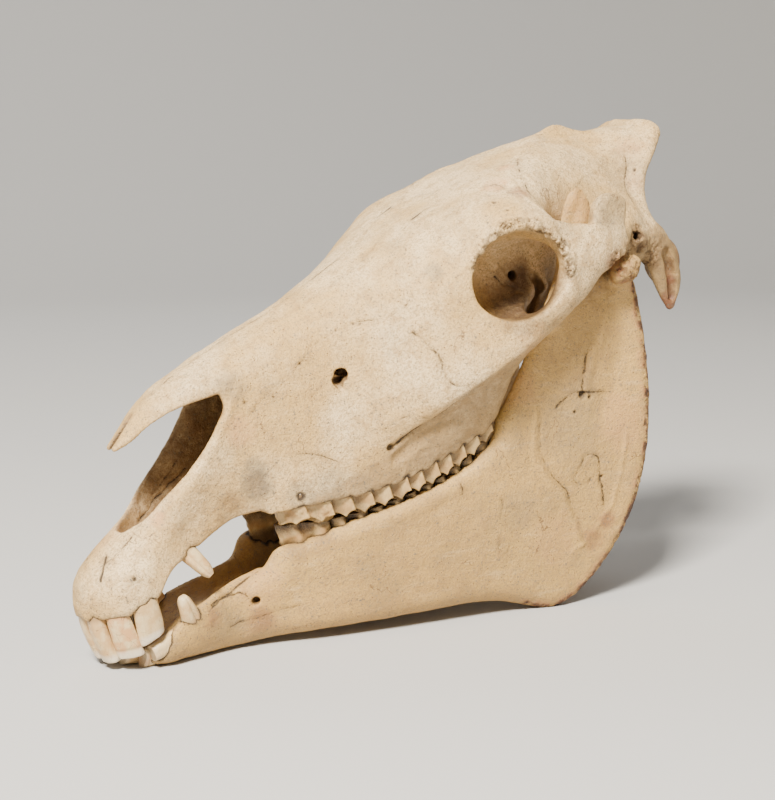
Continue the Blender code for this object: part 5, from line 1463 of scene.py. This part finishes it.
def front_crown(name, row, side):
    """Incisor or canine: bowed crown with a grooved face and a worn or blunt tip."""
    label, root, tip, wide, thick, heading, bow, slant = row
    curve = closed_curve(ROUND_PLAN, 5)
    turn = math.radians(heading)
    root, tip = np.array(root, float), np.array(tip, float)
    along = (tip - root) / np.linalg.norm(tip - root)
    out = np.array((-math.cos(turn), math.sin(turn), 0))
    across = np.cross(out, along)
    across /= np.linalg.norm(across)
    out = np.cross(along, across)
    u, v = curve[:, 0], curve[:, 1]
    canine = label == "canine"
    rings, heights, dirt_and_shade, worn = [], [], [], []
    for level in range(FRONT_STEPS + FRONT_CAPS):
        t = min(level / FRONT_STEPS, 1)
        cap = max(level - FRONT_STEPS, 0) / FRONT_CAPS
        centre = root + (tip - root) * t + out * bow * math.sin(math.pi * t)
        w = wide[0] + (wide[1] - wide[0]) * t
        d = thick[0] + (thick[1] - thick[0]) * t
        if canine:
            round_off = math.sqrt(max(1 - max(t - 0.8, 0) ** 2 / 0.24 ** 2, 0.02))
            w, d = w * round_off, d * round_off
            centre = centre + along * cap * 0.4
        shrink = 1 - 0.1 * cap - 0.25 * cap ** 3
        groove = 0.13 * np.exp(-((u - 0.16) / 0.09) ** 2) if canine else 0.05 * np.exp(-(u / 0.16) ** 2)
        face = v - groove * (v > 0)
        ring = centre + across * (u * w * shrink)[:, None] + out * (face * d * shrink)[:, None]
        rise = slant * u * smooth_step(0.75, 1.0, t) - 0.25 * math.sin(math.pi * cap)
        ring[:, 2] += rise
        lump = 0.16 * noise(ring, (2.5, 2.5, 8), 231) + 0.08 * noise(ring, (1.2, 1.2, 3), 233)
        if not canine and t > 0.86:
            lump = lump + 0.35 * smooth_step(0.86, 1, t) * noise(ring, 2.2, 235)
        ring = ring + (across * u[:, None] + out * v[:, None]) * 2 * lump[:, None]
        ring[:, 1] *= side
        rings.append(ring)
        heights.append(np.full(len(u), t))
        pale = 0.15 if canine else 0.85 if "upper" in name else 0.3
        worn.append(np.full(len(u), pale * smooth_step(0.86, 0.93, t)))
        band = math.exp(-((t - 0.875) / 0.012) ** 2) * (label == "i2")
        dirt_and_shade.append(np.full(len(u), min(0.6 * band + 0.6 * cap * (not canine), 1)))
    heights = np.array(heights)
    masks = {"height": heights, "dirt_and_shade": np.array(dirt_and_shade), "worn": np.array(worn),
             "warm": np.full(heights.shape, WARMTH[label])}
    return skin(name, rings, masks)


def make_teeth():
    """All teeth in the skull's frame, as upper and lower lists."""
    upper, lower = [], []
    for side, hand in ((-1, "left"), (1, "right")):
        for made, first, sockets, plan, width, inset, up, level in (
                (upper, UPPER_ROW_START, UPPER_SOCKETS, FOLDED_PLAN, UPPER_TOOTH_WIDTH, 0, 1, "upper"),
                (lower, LOWER_ROW_START, LOWER_SOCKETS, LOWER_PLAN, LOWER_TOOTH_WIDTH, LOWER_ROW_INSET, -1,
                 "lower")):
            start = first
            for number, length in enumerate(CHEEK_LENGTHS):
                made.append(cheek_crown("%s_cheek_%s_%d" % (level, hand, number), number, start + length / 2,
                                        length, sockets, plan, width, inset, side, up))
                start += length
        for made, table, level in ((upper, UPPER_FRONT, "upper"), (lower, LOWER_FRONT, "lower")):
            for row in table:
                made.append(front_crown("%s_%s_%s" % (level, row[0], hand), row, side))
    return upper, lower


def add_camera():
    data = bpy.data.cameras.new("camera")
    data.sensor_fit = "HORIZONTAL"
    data.sensor_width = SENSOR_WIDTH
    data.lens = CAMERA_LENS
    camera = put("camera", data)
    turn = Matrix.Rotation(-math.radians(PITCH), 3, "Y")
    ahead = (turn @ Vector(CAMERA_AHEAD)).normalized()
    right = ahead.cross(turn @ Vector(CAMERA_UP)).normalized()
    up = right.cross(ahead)
    camera.matrix_world = Matrix.Translation(PLACED @ Vector(CAMERA_PLACE)) @ Matrix(
        (right, up, -ahead)).transposed().to_4x4()
    bpy.context.scene.camera = camera


def add_area(name, place, target, size, power, colour):
    data = bpy.data.lights.new(name, "AREA")
    data.size = size
    data.energy = power
    data.color = colour
    light = put(name, data)
    light.location = place
    light.rotation_euler = (Vector(target) - Vector(place)).to_track_quat("-Z", "Y").to_euler()


def add_studio():
    """Round pale floor that sweeps up into a wall, and soft lights."""
    profile = [(FLOOR_INNER, 0.0)]
    for turn in np.radians(np.linspace(0, 90, FLOOR_BENDS)):
        profile.append((FLOOR_FLAT + FLOOR_BEND * math.sin(turn), FLOOR_BEND * (1 - math.cos(turn))))
    profile.append((FLOOR_FLAT + FLOOR_BEND, WALL_TOP))
    turns = [2 * math.pi * i / FLOOR_SIDES for i in range(FLOOR_SIDES)]
    points = [(0, 0, 0)] + [(radius * math.cos(turn), radius * math.sin(turn), height)
                            for radius, height in profile for turn in turns]
    faces = []
    for i in range(FLOOR_SIDES):
        j = (i + 1) % FLOOR_SIDES
        faces.append((0, 1 + i, 1 + j))
        for low in range(1, 1 + (len(profile) - 1) * FLOOR_SIDES, FLOOR_SIDES):
            high = low + FLOOR_SIDES
            faces.append((low + i, high + i, high + j, low + j))
    mesh = bpy.data.meshes.new("floor")
    mesh.from_pydata(points, [], faces)
    mesh.polygons.foreach_set("use_smooth", np.ones(len(mesh.polygons), bool))
    floor = put("floor", mesh)
    material = bpy.data.materials.new("pale_floor")
    material.use_nodes = True
    shader = material.node_tree.nodes["Principled BSDF"]
    shader.inputs["Base Color"].default_value = FLOOR_COLOUR
    shader.inputs["Roughness"].default_value = FLOOR_ROUGHNESS
    mesh.materials.append(material)
    world = bpy.data.worlds.new("studio")
    world.use_nodes = True
    world.node_tree.nodes["Background"].inputs["Color"].default_value = AIR_COLOUR
    world.node_tree.nodes["Background"].inputs["Strength"].default_value = AIR_STRENGTH
    bpy.context.scene.world = world
    for row in LIGHTS:
        add_area(*row)


def dress(piece, node_name):
    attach(piece, "root")
    if node_name:
        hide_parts(node_name)


def main():
    add_camera()
    add_studio()
    upper, lower = make_teeth()
    bone = cranium_bone(GRID_STEP)
    carve_cranium(bone)
    cranium = Surface(bone)
    detail_cranium(cranium, upper)
    mandible = Surface(mandible_bone(GRID_STEP))
    detail_mandible(mandible, lower)
    dress(cranium.make("cranium_bone", bone_material("cranium_bone", IVORY, CREAM)),
          "cranium")
    dress(mandible.make("mandible_bone", bone_material("mandible_bone", WHEAT, HONEY)),
          "mandible")
    cheek = tooth_material("cheek_tooth", CEMENT, CEMENT_DEEP, CREAM, 0.45)
    incisor = tooth_material("incisor", ENAMEL, ENAMEL_DEEP, WORN, 0.36)
    for piece in upper + lower:
        bpy.context.scene.collection.objects.link(piece)
        piece.data.transform(PLACED)
        piece.data.materials.append(cheek if "cheek" in piece.name else incisor)
        dress(piece, None)


main()
